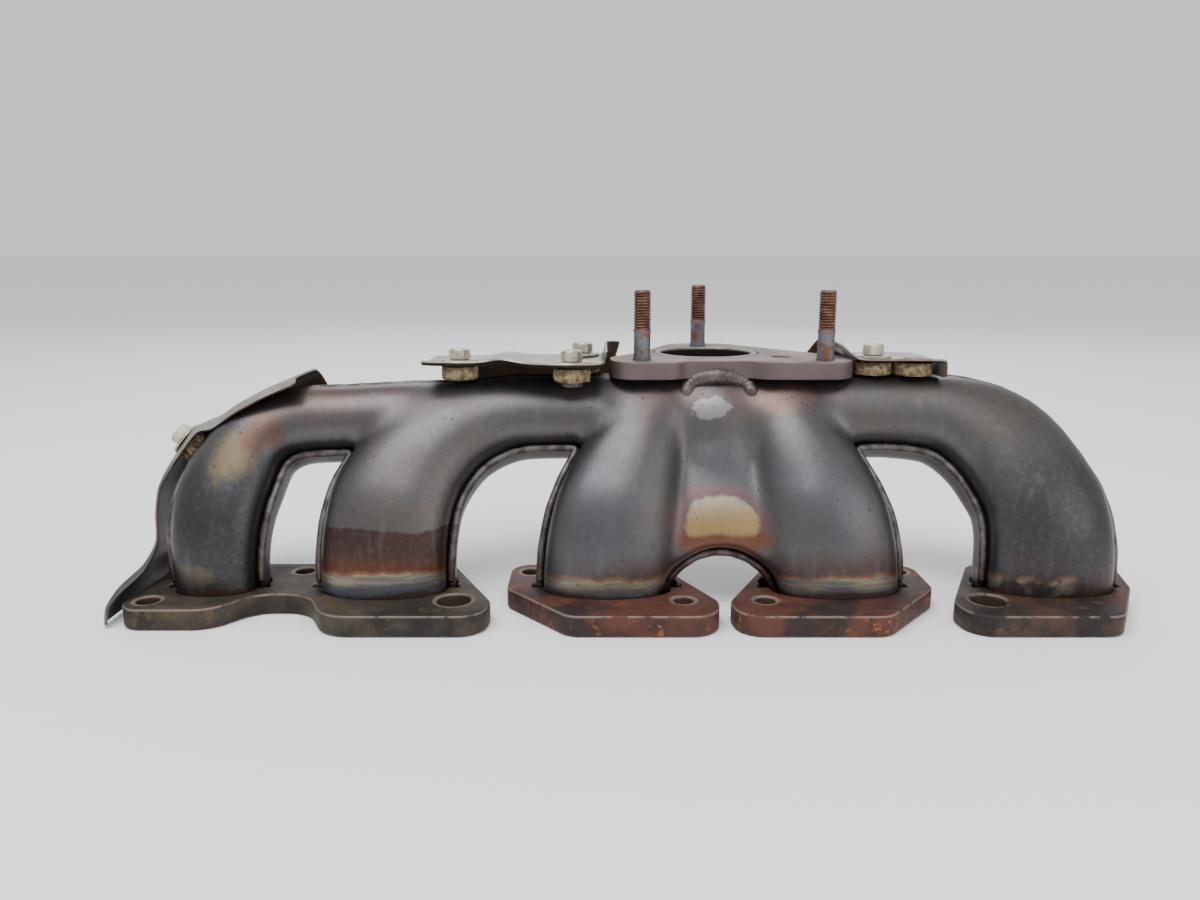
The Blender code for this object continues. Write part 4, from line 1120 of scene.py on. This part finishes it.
def shell_paint(name, rear=False):
    """Stamped stainless sheet with its heat tints: bands above the flanges and patches, painted
    reflections on the front, and a sooty inside below the outlet in painted shade.
    """
    p = Paint(name, 0.86, 0.4)
    cloud = p.noise(26, 4)
    wide = p.noise(9, 3, shift=3.0)
    fine = p.noise(420, 3)
    grain = p.noise(1500, 2)
    wave = p.math("SUBTRACT", p.noise(45, 4, 0.6, (1, 1, 0.5), 7.0), 0.5)
    wobble = p.math("MULTIPLY", p.math("SUBTRACT", p.noise(90, 4, 0.65, shift=2.0), 0.5), 1.1)
    p.colour = p.mix(p.step(cloud, 0.38, 0.62), BLUE_GREY, BROWN_GREY)
    p.lay((0.105, 0.083, 0.080), p.step(wide, 0.52, 0.68), 0.5)
    top = p.step(p.plus(p.z, wave, 0.02), 0.074, 0.098)
    middle = p.both(p.step(p.x, -0.02, 0.02), p.step(p.x, 0.125, 0.09))
    p.lay((0.098, 0.065, 0.062), top, middle, p.step(cloud, 0.3, 0.6))
    left_top = p.both(top, p.step(p.x, -0.07, -0.13))
    p.lay((0.115, 0.068, 0.055), left_top, 0.7)
    # The end branches are darker.
    ends = p.math("MAXIMUM", p.step(p.x, -0.128, -0.142), p.step(p.x, 0.150, 0.185))
    p.lay(CHARCOAL, ends, p.step(p.z, 0.085, 0.055), 0.8)
    # Bands above the flanges: the second branch has the tallest.
    height = p.plus(p.z, wave, 0.010)
    branches = p.step(p.x, -0.135, -0.126)
    second = p.both(branches, p.step(p.x, -0.055, -0.060))
    others = p.both(branches, p.step(p.x, -0.060, -0.055))
    low_maroon = p.both(others, p.step(height, 0.032, 0.021), p.step(cloud, 0.25, 0.6))
    p.lay((0.070, 0.038, 0.034), low_maroon, 0.65)
    p.lay(MAROON, second, p.step(height, 0.0385, 0.0375), 0.88)
    warm = p.both(second, p.step(height, 0.030, 0.022), 0.75)
    p.lay((0.100, 0.040, 0.022), warm)
    top_edge = p.math("SUBTRACT", height, p.both(second, 0.0025))
    patchy = p.both(p.step(p.x, 0.205, 0.196), p.step(p.noise(60, 3, shift=12.0), 0.40, 0.52))
    whole = p.both(branches, p.step(p.x, 0.15, 0.14))
    shown = p.math("MAXIMUM", whole, p.both(patchy, p.step(p.x, 0.14, 0.15)))
    gold = p.both(p.step(top_edge, 0.0190, 0.0172), shown)
    p.lay(GOLD, gold, 0.8)
    straw = p.both(p.step(top_edge, 0.0175, 0.0162), shown)
    lines = p.noise(150, 4, 0.6, (0.35, 0.35, 3.5), 15.0)
    straw_colour = p.mix(p.step(lines, 0.40, 0.60), (0.27, 0.245, 0.17), (0.135, 0.145, 0.150))
    p.lay(straw_colour, straw, 0.92)
    blue = p.both(shown, p.step(top_edge, 0.0130, 0.0115))
    p.lay((0.085, 0.100, 0.135), blue, 0.7)
    foot = p.step(height, 0.0112, 0.0098)
    p.lay((0.070, 0.038, 0.024), foot, 0.85)
    if not rear:
        # The lens between the third and fourth branches: a violet and yellow heat tint, its middle
        # painted bright as a reflection of the light.
        lens_at = (MIDDLE_X, 0.000, 0.0385)
        rim = p.spot(lens_at, (0.0240, 0.05, 0.0160), p.math("MULTIPLY", wobble, 0.6), 0.80, 1.1)
        p.lay(VIOLET, rim, 0.85)
        below = p.both(rim, p.step(height, 0.0365, 0.0325))
        p.lay((0.145, 0.060, 0.032), below, 0.85)
        # Painted reflection over a yellow heat tint: the bright middle of the lens, palest at its top.
        lens = p.spot(lens_at, (0.0180, 0.05, 0.0115), p.math("MULTIPLY", wobble, 0.5), 0.82, 0.98)
        lens = p.both(lens, p.step(height, 0.0320, 0.0350))
        yellow_tint_and_reflection = p.mix(p.step(p.z, 0.037, 0.052), (0.33, 0.22, 0.09), (0.33, 0.31, 0.235))
        p.lay(yellow_tint_and_reflection, lens, 0.95)
        for colour, centre, size, share, inner, outer, amount in PATCHES:
            spot = p.spot(centre, size, p.math("MULTIPLY", wobble, share), inner, outer)
            p.lay(colour, spot, amount)
    # Streaks along the branches, then speckle and pitting.
    streak = p.noise(60, 3, 0.5, (3.2, 3.2, 0.16))
    p.lay((0.15, 0.147, 0.145), p.step(streak, 0.55, 0.75), 0.22)
    specks = p.step(p.noise(640, 2, 0.6, shift=5.0), 0.66, 0.72)
    p.lay((0.035, 0.025, 0.02), specks, 0.6)
    dust = p.step(p.noise(210, 5, 0.7, shift=9.0), 0.60, 0.72)
    p.lay((0.14, 0.06, 0.03), dust, 0.28)
    p.lay((0.17, 0.165, 0.165), p.step(fine, 0.45, 0.75), 0.14)
    rough = p.plus(0.30, cloud, 0.22)
    rough = p.plus(rough, specks, 0.2)
    # Soot and painted shade on the inside, below the outlet: what is seen down the port is painted near
    # black.
    soot_and_shade = p.both(p.step(p.reach(*TURBO_PORT), 0.0215, 0.0190), p.step(p.z, 0.088, 0.084))
    p.lay(SOOT_AND_SHADE, soot_and_shade, 0.9)
    rough = p.plus(rough, soot_and_shade, 0.45)
    p.bump(fine, 0.10, 0.0004)
    p.bump(grain, 0.08, 0.0002)
    p.bump(cloud, 0.10, 0.003)
    return p.finish(rough)


def plate_paint(name, rusty, holes):
    """Laser-cut flange plate: scale and rust, and a painted highlight along the top edge."""
    p = Paint(name, 0.35 if rusty else 0.6, 0.7, 0.4)
    cloud = p.noise(38, 6, 0.65)
    patch = p.noise(85, 6, 0.7, shift=4.0)
    grit = p.noise(900, 4, 0.7)
    crust = p.noise(300, 5, 0.7, shift=6.0)
    low = p.step(p.z, 0.0085, 0.0055)
    if rusty:
        p.colour = p.mix(p.step(cloud, 0.38, 0.62), (0.036, 0.018, 0.016), (0.100, 0.036, 0.024))
        p.lay((0.165, 0.055, 0.024), p.step(patch, 0.52, 0.66), 0.6)
        glow = p.both(p.step(crust, 0.54, 0.64), p.step(patch, 0.47, 0.6), p.math("ADD", 0.25, low))
        p.lay(ORANGE, glow, 0.8)
        ends = p.step(p.noise(28, 3, shift=8.0), 0.53, 0.64)
        p.lay((0.024, 0.018, 0.017), ends, 0.85)
    else:
        p.colour = p.mix(p.step(cloud, 0.38, 0.62), (0.028, 0.024, 0.022), (0.070, 0.055, 0.042))
        p.lay((0.115, 0.080, 0.040), p.step(patch, 0.55, 0.66), 0.65)
        glow = p.both(p.step(crust, 0.60, 0.70), p.step(patch, 0.46, 0.6), p.math("ADD", 0.2, low))
        p.lay((0.26, 0.10, 0.03), glow, 0.7)
        right = p.both(p.step(p.x, 0.15, 0.19), p.step(cloud, 0.42, 0.58))
        p.lay((0.095, 0.036, 0.024), right, 0.6)
    # Painted highlight: a pale band on the bevel of the top edge, where light catches it.
    edge = p.step(p.z, HEAD_THICK - 0.0011, HEAD_THICK - 0.0006)
    edge = p.both(edge, p.step(p.z, HEAD_THICK - 0.00002, HEAD_THICK - 0.0002))
    p.lay((0.26, 0.21, 0.17), edge, p.step(patch, 0.40, 0.5), 0.6)
    for x, y, radius in holes:
        away = p.reach(x, y)
        ring = p.both(p.step(away, radius + 0.0022, radius + 0.0014), p.step(p.z, 0.0075, 0.0085))
        p.lay((0.23, 0.185, 0.145), ring, p.step(patch, 0.35, 0.5), 0.7)
        bore = p.step(away, radius + 0.0003, radius)
        p.lay((0.05, 0.03, 0.022), bore, 0.7)
    rough = p.plus(0.36, patch, 0.45)
    p.bump(crust, 0.55, 0.0009)
    p.bump(grit, 0.35, 0.0003)
    return p.finish(rough)


def turbo_paint(name):
    """Machined flange with a mauve heat tint and turned rings round its port."""
    p = Paint(name, 0.7, 0.5)
    reach = p.reach(*TURBO_PORT)
    cloud = p.noise(40, 5, 0.6)
    grit = p.noise(700, 4, 0.65)
    p.colour = p.mix(p.step(cloud, 0.36, 0.64), (0.105, 0.080, 0.079), (0.145, 0.115, 0.108))
    on_top = p.step(p.z, TURBO_TOP - 0.0009, TURBO_TOP - 0.0002)
    blotch = p.step(p.noise(60, 5, 0.6, shift=3.0), 0.4, 0.6)
    face = p.mix(blotch, (0.21, 0.18, 0.155), (0.145, 0.095, 0.078))
    p.lay(face, on_top, 0.85)
    ring = p.both(on_top, p.step(reach, 0.0335, 0.0320))
    p.lay((0.11, 0.10, 0.105), ring, 0.7)
    p.lay((0.22, 0.09, 0.05), p.step(p.noise(160, 5, 0.7, shift=5.0), 0.58, 0.7), 0.5)
    lathe = p.math("SINE", p.math("MULTIPLY", reach, 9000.0))
    p.bump(p.both(lathe, on_top), 0.25, 0.0001)
    p.bump(grit, 0.3, 0.0003)
    return p.finish(p.plus(0.38, cloud, 0.3))


def stud_paint(name):
    """Rust-red thread above, blue-grey waist with rust patches below."""
    p = Paint(name, 0.65, 0.5)
    patch = p.noise(220, 5, 0.65)
    grit = p.noise(1400, 3, 0.6)
    thread = p.step(p.plus(p.z, patch, 0.004), 0.1185, 0.1225)
    waist = p.mix(p.step(patch, 0.48, 0.58), (0.13, 0.14, 0.165), (0.16, 0.075, 0.045))
    upper = p.mix(p.step(patch, 0.42, 0.62), (0.105, 0.045, 0.030), (0.20, 0.105, 0.072))
    p.colour = p.mix(thread, waist, upper)
    # Pale flecks: bare metal, and painted glints of light on the thread.
    p.lay((0.42, 0.32, 0.27), p.step(grit, 0.6, 0.72), 0.5)
    p.bump(grit, 0.4, 0.0002)
    return p.finish(p.plus(0.35, patch, 0.35))


def shield_paint(name):
    """Aluminised sheet: warm grey outside, the downward-facing inside in painted shade, rusty at the cut
    edges.
    """
    p = Paint(name, 0.75, 0.42)
    cloud = p.noise(55, 5, 0.6)
    spangle = p.noise(380, 4, 0.6)
    streak = p.noise(70, 4, 0.6, (0.3, 3.0, 0.3))
    p.colour = p.mix(p.step(cloud, 0.35, 0.65), (0.36, 0.345, 0.31), (0.24, 0.235, 0.215))
    p.lay((0.47, 0.455, 0.42), p.step(streak, 0.5, 0.7), 0.4)
    p.lay((0.16, 0.145, 0.12), p.step(spangle, 0.56, 0.68), 0.4)
    # Painted shade: faces that turn downward (less so those that turn left) are painted near black.
    normal = p.add("ShaderNodeNewGeometry").outputs["Normal"]
    up = p.add("ShaderNodeSeparateXYZ", {0: normal}).outputs
    facing = p.plus(up[2], p.math("MINIMUM", up[0], 0.0), -0.8)
    inside = p.step(facing, 0.02, -0.25)
    p.lay((0.030, 0.027, 0.025), inside, 0.92)
    low_end = p.both(p.step(p.x, -0.165, -0.185), p.step(p.z, 0.070, 0.050))
    p.lay((0.050, 0.045, 0.042), low_end, 0.85)
    near = p.step(up[1], -0.55, -0.85)
    p.lay((0.19, 0.095, 0.05), near, p.step(cloud, 0.35, 0.6), 0.7)
    p.bump(spangle, 0.18, 0.0003)
    p.bump(cloud, 0.3, 0.002)
    return p.finish(p.plus(0.34, cloud, 0.25))


def small_paint(name, light, dark, metallic, roughness, scale=260, rust=0.3):
    """Small hardware: two tones, rust in the pits."""
    p = Paint(name, metallic, roughness)
    patch = p.noise(scale, 5, 0.65)
    grit = p.noise(1600, 3, 0.6)
    p.colour = p.mix(p.step(patch, 0.38, 0.62), dark, light)
    p.lay(RUST, p.step(p.noise(scale * 2.2, 4, 0.7, shift=3.0), 0.58, 0.68), rust)
    p.bump(grit, 0.3, 0.0002)
    return p.finish(p.plus(roughness - 0.1, patch, 0.25))


def collar_paint(name):
    """Turned lip, with its bore painted near black: sooty, and in painted shade."""
    p = Paint(name, 0.8, 0.45)
    patch = p.noise(120, 5, 0.65)
    p.colour = p.mix(p.step(patch, 0.38, 0.62), (0.17, 0.14, 0.125), (0.26, 0.225, 0.20))
    # Painted shade and sooty: all below the top face, the bore with it, is painted near black.
    soot_and_shade = p.step(p.z, TURBO_TOP - 0.0006, TURBO_TOP - 0.0014)
    p.lay((0.012, 0.011, 0.011), soot_and_shade, 0.97)
    p.bump(p.noise(900, 4), 0.3, 0.0003)
    return p.finish(p.plus(0.4, soot_and_shade, 0.45))


def weld_paint(name, light, dark):
    """Weld metal, browner near the flanges."""
    p = Paint(name, 0.8, 0.45)
    patch = p.noise(150, 5, 0.65)
    grit = p.noise(1300, 3, 0.6)
    p.colour = p.mix(p.step(patch, 0.40, 0.60), dark, light)
    p.lay((0.09, 0.05, 0.035), p.step(p.z, 0.030, 0.012), 0.6)
    p.bump(grit, 0.35, 0.0003)
    return p.finish(p.plus(0.32, patch, 0.3))


# ---------------------------------------------------------------- building
SINGLE_PORTS = {3: (BRANCH_3, 1), 4: (mirror_middle(BRANCH_3), -1), 5: (BRANCH_5, -1)}


def flange_holes(number):
    """Bolt holes of a single flange: x, y, radius."""
    duct, hand = SINGLE_PORTS[number]
    radii = (BOLT_HOLE, WIDE_BOLT_HOLE if number == 5 else BOLT_HOLE)
    return [(duct[0][0] + hand * dx, dy, r) for (dx, dy), r in zip(SINGLE_HOLES, radii)]


FRONT_PAINT = shell_paint("front_sheet_paint")
REAR_PAINT = shell_paint("rear_sheet_paint", rear=True)
RUSTY_PAINT = plate_paint("rusty_plate_paint", True, flange_holes(3) + flange_holes(4))
DARK_PAINT = plate_paint("dark_plate_paint", False, flange_holes(5) + list(DOUBLE_HOLES))
TURBO_PAINT = turbo_paint("machined_plate_paint")
STUD_PAINT = stud_paint("stud_paint")
SHIELD_PAINT = shield_paint("shield_paint")
COLLAR_PAINT = collar_paint("collar_paint")
BOSS_PAINT = small_paint("boss_paint", (0.16, 0.15, 0.14), (0.07, 0.06, 0.055), 0.7, 0.55)
MESH_PAINT = small_paint("mesh_wire_paint", (0.42, 0.34, 0.20), (0.17, 0.12, 0.065), 0.8, 0.45, 420, 0.25)
WASHER_PAINT = small_paint("washer_paint", (0.50, 0.48, 0.44), (0.28, 0.26, 0.22), 0.85, 0.4, 200, 0.15)
BOLT_PAINT = small_paint("bolt_paint", (0.62, 0.58, 0.47), (0.36, 0.33, 0.26), 0.7, 0.45, 240, 0.12)
SEAM_PAINT = weld_paint("seam_weld_paint", (0.145, 0.130, 0.122), (0.060, 0.052, 0.048))
NECK_PAINT = weld_paint("neck_weld_paint", (0.125, 0.105, 0.100), (0.075, 0.056, 0.052))

FRONT_NET = fine_shell("front_shell_fine", FRONT_PAINT, rear=False)
fine_shell("rear_shell_fine", REAR_PAINT, rear=True)
new_piece("seam_weld", mesh_of(*joined(seam_beads(FRONT_NET))), SEAM_PAINT)
new_piece("neck_weld", mesh_of(*joined(neck_bead())), NECK_PAINT)
# The weld all round the neck: radius, height.
NECK_RING = [(0.0270, 0.0925), (0.0318, 0.0920), (0.0329, 0.0938), (0.0336, 0.0960),
             (0.0341, 0.0977), (0.0270, 0.0977)]
AT_PORT = Matrix.Translation((*TURBO_PORT, 0))
new_piece("neck_ring", turned(NECK_RING, 96, AT_PORT), NECK_PAINT)

# Head flanges.
OPENINGS = [port_outline(duct[0][0], duct) for duct in (EGR_DUCT, BRANCH_2)]
HOLES = [circle(*hole, 48) for hole in DOUBLE_HOLES]
OUTLINES = [rounded(DOUBLE_FLANGE, math.radians(6)), *OPENINGS, *HOLES]
bevelled_plate("double_head_flange", OUTLINES, 0.0, HEAD_THICK, DARK_PAINT, HEAD_EDGE)
for number, (duct, hand) in SINGLE_PORTS.items():
    x = duct[0][0]
    shape = END_FLANGE if number == 5 else SINGLE_FLANGE
    corners = [(x + hand * dx, dy, radius) for dx, dy, radius in shape]
    if hand < 0:
        corners.reverse()
    holes = [circle(*hole, 48) for hole in flange_holes(number)]
    OUTLINES = [rounded(corners, math.radians(6)), port_outline(x, duct), *holes]
    paint, slot = (DARK_PAINT, "dark_plate") if number == 5 else (RUSTY_PAINT, "rusty_plate")
    bevelled_plate(f"head_flange_{number}", OUTLINES, 0.0, HEAD_THICK, paint, HEAD_EDGE)

# Turbocharger flange, collar and studs.
HOLES = [circle(x, y, STUD_RADIUS + FIT, 40) for x, y in STUDS]
BORE = circle(*TURBO_PORT, COLLAR_RADIUS + FIT, 96)
OUTLINES = [rounded(TURBO_FLANGE, math.radians(5)), BORE, circle(*LOCATING_HOLE, 40), *HOLES]
bevelled_plate("turbo_flange", OUTLINES, TURBO_TOP - TURBO_THICK, TURBO_THICK, TURBO_PAINT,
               TURBO_EDGE)
COLLAR = turned(soft_ring(COLLAR_RADIUS, PORT_RADIUS, COLLAR_FOOT, TURBO_TOP, 0.0005), 96, AT_PORT)
new_piece("outlet_collar_fine", COLLAR, COLLAR_PAINT, ("outlet_collar",), 30)
for number, (x, y) in enumerate(STUDS, 1):
    threaded_stud(number, x, y, STUD_PAINT)

# Shields and their mounts.
fine_shield("heat_shield_left", LEFT_SHIELD, SHIELD_PAINT, -0.0030)
fine_shield("heat_shield_middle", MIDDLE_SHIELD, SHIELD_PAINT, 0.0022)
fine_shield("heat_shield_right", RIGHT_SHIELD, SHIELD_PAINT, 0.0012)
SEAT = PAD_HEIGHT + SHIELD_SHEET + 2 * FIT
# Section of the rivet's head: share of its radius, height.
RIVET_DOME = ((1.0, 0.0), (1.0, 0.0003), (0.8, 0.0010), (0.5, 0.0014), (0.0, 0.0016), (0.0, 0.0))
for mount, (place, axis) in MOUNTS.items():
    frame_here = aim(place, axis)
    knitted_pad(mount, place, axis, MESH_PAINT)
    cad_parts[f"boss_{mount}"].material_slots[0].material = BOSS_PAINT
    if mount == "right_b":
        dome = [(RIVET_RADIUS * share, SEAT + height) for share, height in RIVET_DOME]
        new_piece("rivet_right_b_fine", turned(dome, 48, frame_here), WASHER_PAINT,
                  ("rivet_right_b",), 30)
        continue
    ring = soft_ring(WASHER_RADIUS, SHANK_RADIUS + HOLE_ROOM, SEAT, SEAT + WASHER_HEIGHT, 0.00025)
    new_piece(f"washer_{mount}_fine", turned(ring, 64, frame_here), WASHER_PAINT,
              (f"washer_{mount}",), 30)
    hex_bolt(mount, place, axis, SEAT + WASHER_HEIGHT + FIT, BOLT_PAINT)

# ---------------------------------------------------------------- floor, light and camera
floor_mesh = bpy.data.meshes.new("floor")
floor_mesh.from_pydata([(-40, -40, 0), (40, -40, 0), (40, 40, 0), (-40, 40, 0)], [], [(0, 1, 2, 3)])
floor = bpy.data.objects.new("floor", floor_mesh)
bpy.context.scene.collection.objects.link(floor)
floor.location.z = -0.0005
FLOOR_PAINT = Paint("floor_paint", 0.0, 0.9, 0.2)
FLOOR_PAINT.colour = (0.90, 0.90, 0.90)
floor_mesh.materials.append(FLOOR_PAINT.finish())

world = bpy.data.worlds.new("studio")
bpy.context.scene.world = world
world.use_nodes = True
backdrop = world.node_tree.nodes["Background"]
backdrop.inputs["Color"].default_value = (0.96, 0.97, 1.0, 1.0)
backdrop.inputs["Strength"].default_value = 0.90


# Area lights: place, size, power.
LIGHTS = {
    "key": ((-0.25, -0.45, 1.15), (1.1, 0.6), 15),
    "fill": ((0.9, -0.8, 0.55), (0.8, 0.8), 4),
    "back": ((0.1, 1.1, 0.9), (1.4, 0.5), 7),
}
LIGHT_TARGET = Vector((0, 0, 0.05))
for name, (place, size, power) in LIGHTS.items():
    light = bpy.data.lights.new(name, "AREA")
    light.shape = "RECTANGLE"
    light.size, light.size_y = size
    light.energy = power
    lamp = bpy.data.objects.new(name, light)
    bpy.context.scene.collection.objects.link(lamp)
    lamp.location = place
    lamp.rotation_euler = (LIGHT_TARGET - Vector(place)).to_track_quat("-Z", "Y").to_euler()

CAMERA_AT = Vector((0.0, -0.4043, 0.1538))
LOOKS_DOWN = math.radians(11.7)
view = bpy.data.cameras.new("camera")
view.lens = 28.8
view.sensor_width = 36
view.clip_start = 0.01
camera = bpy.data.objects.new("camera", view)
bpy.context.scene.collection.objects.link(camera)
camera.location = CAMERA_AT + OFFSET
camera.rotation_euler = (math.pi / 2 - LOOKS_DOWN, 0, 0)
bpy.context.scene.camera = camera
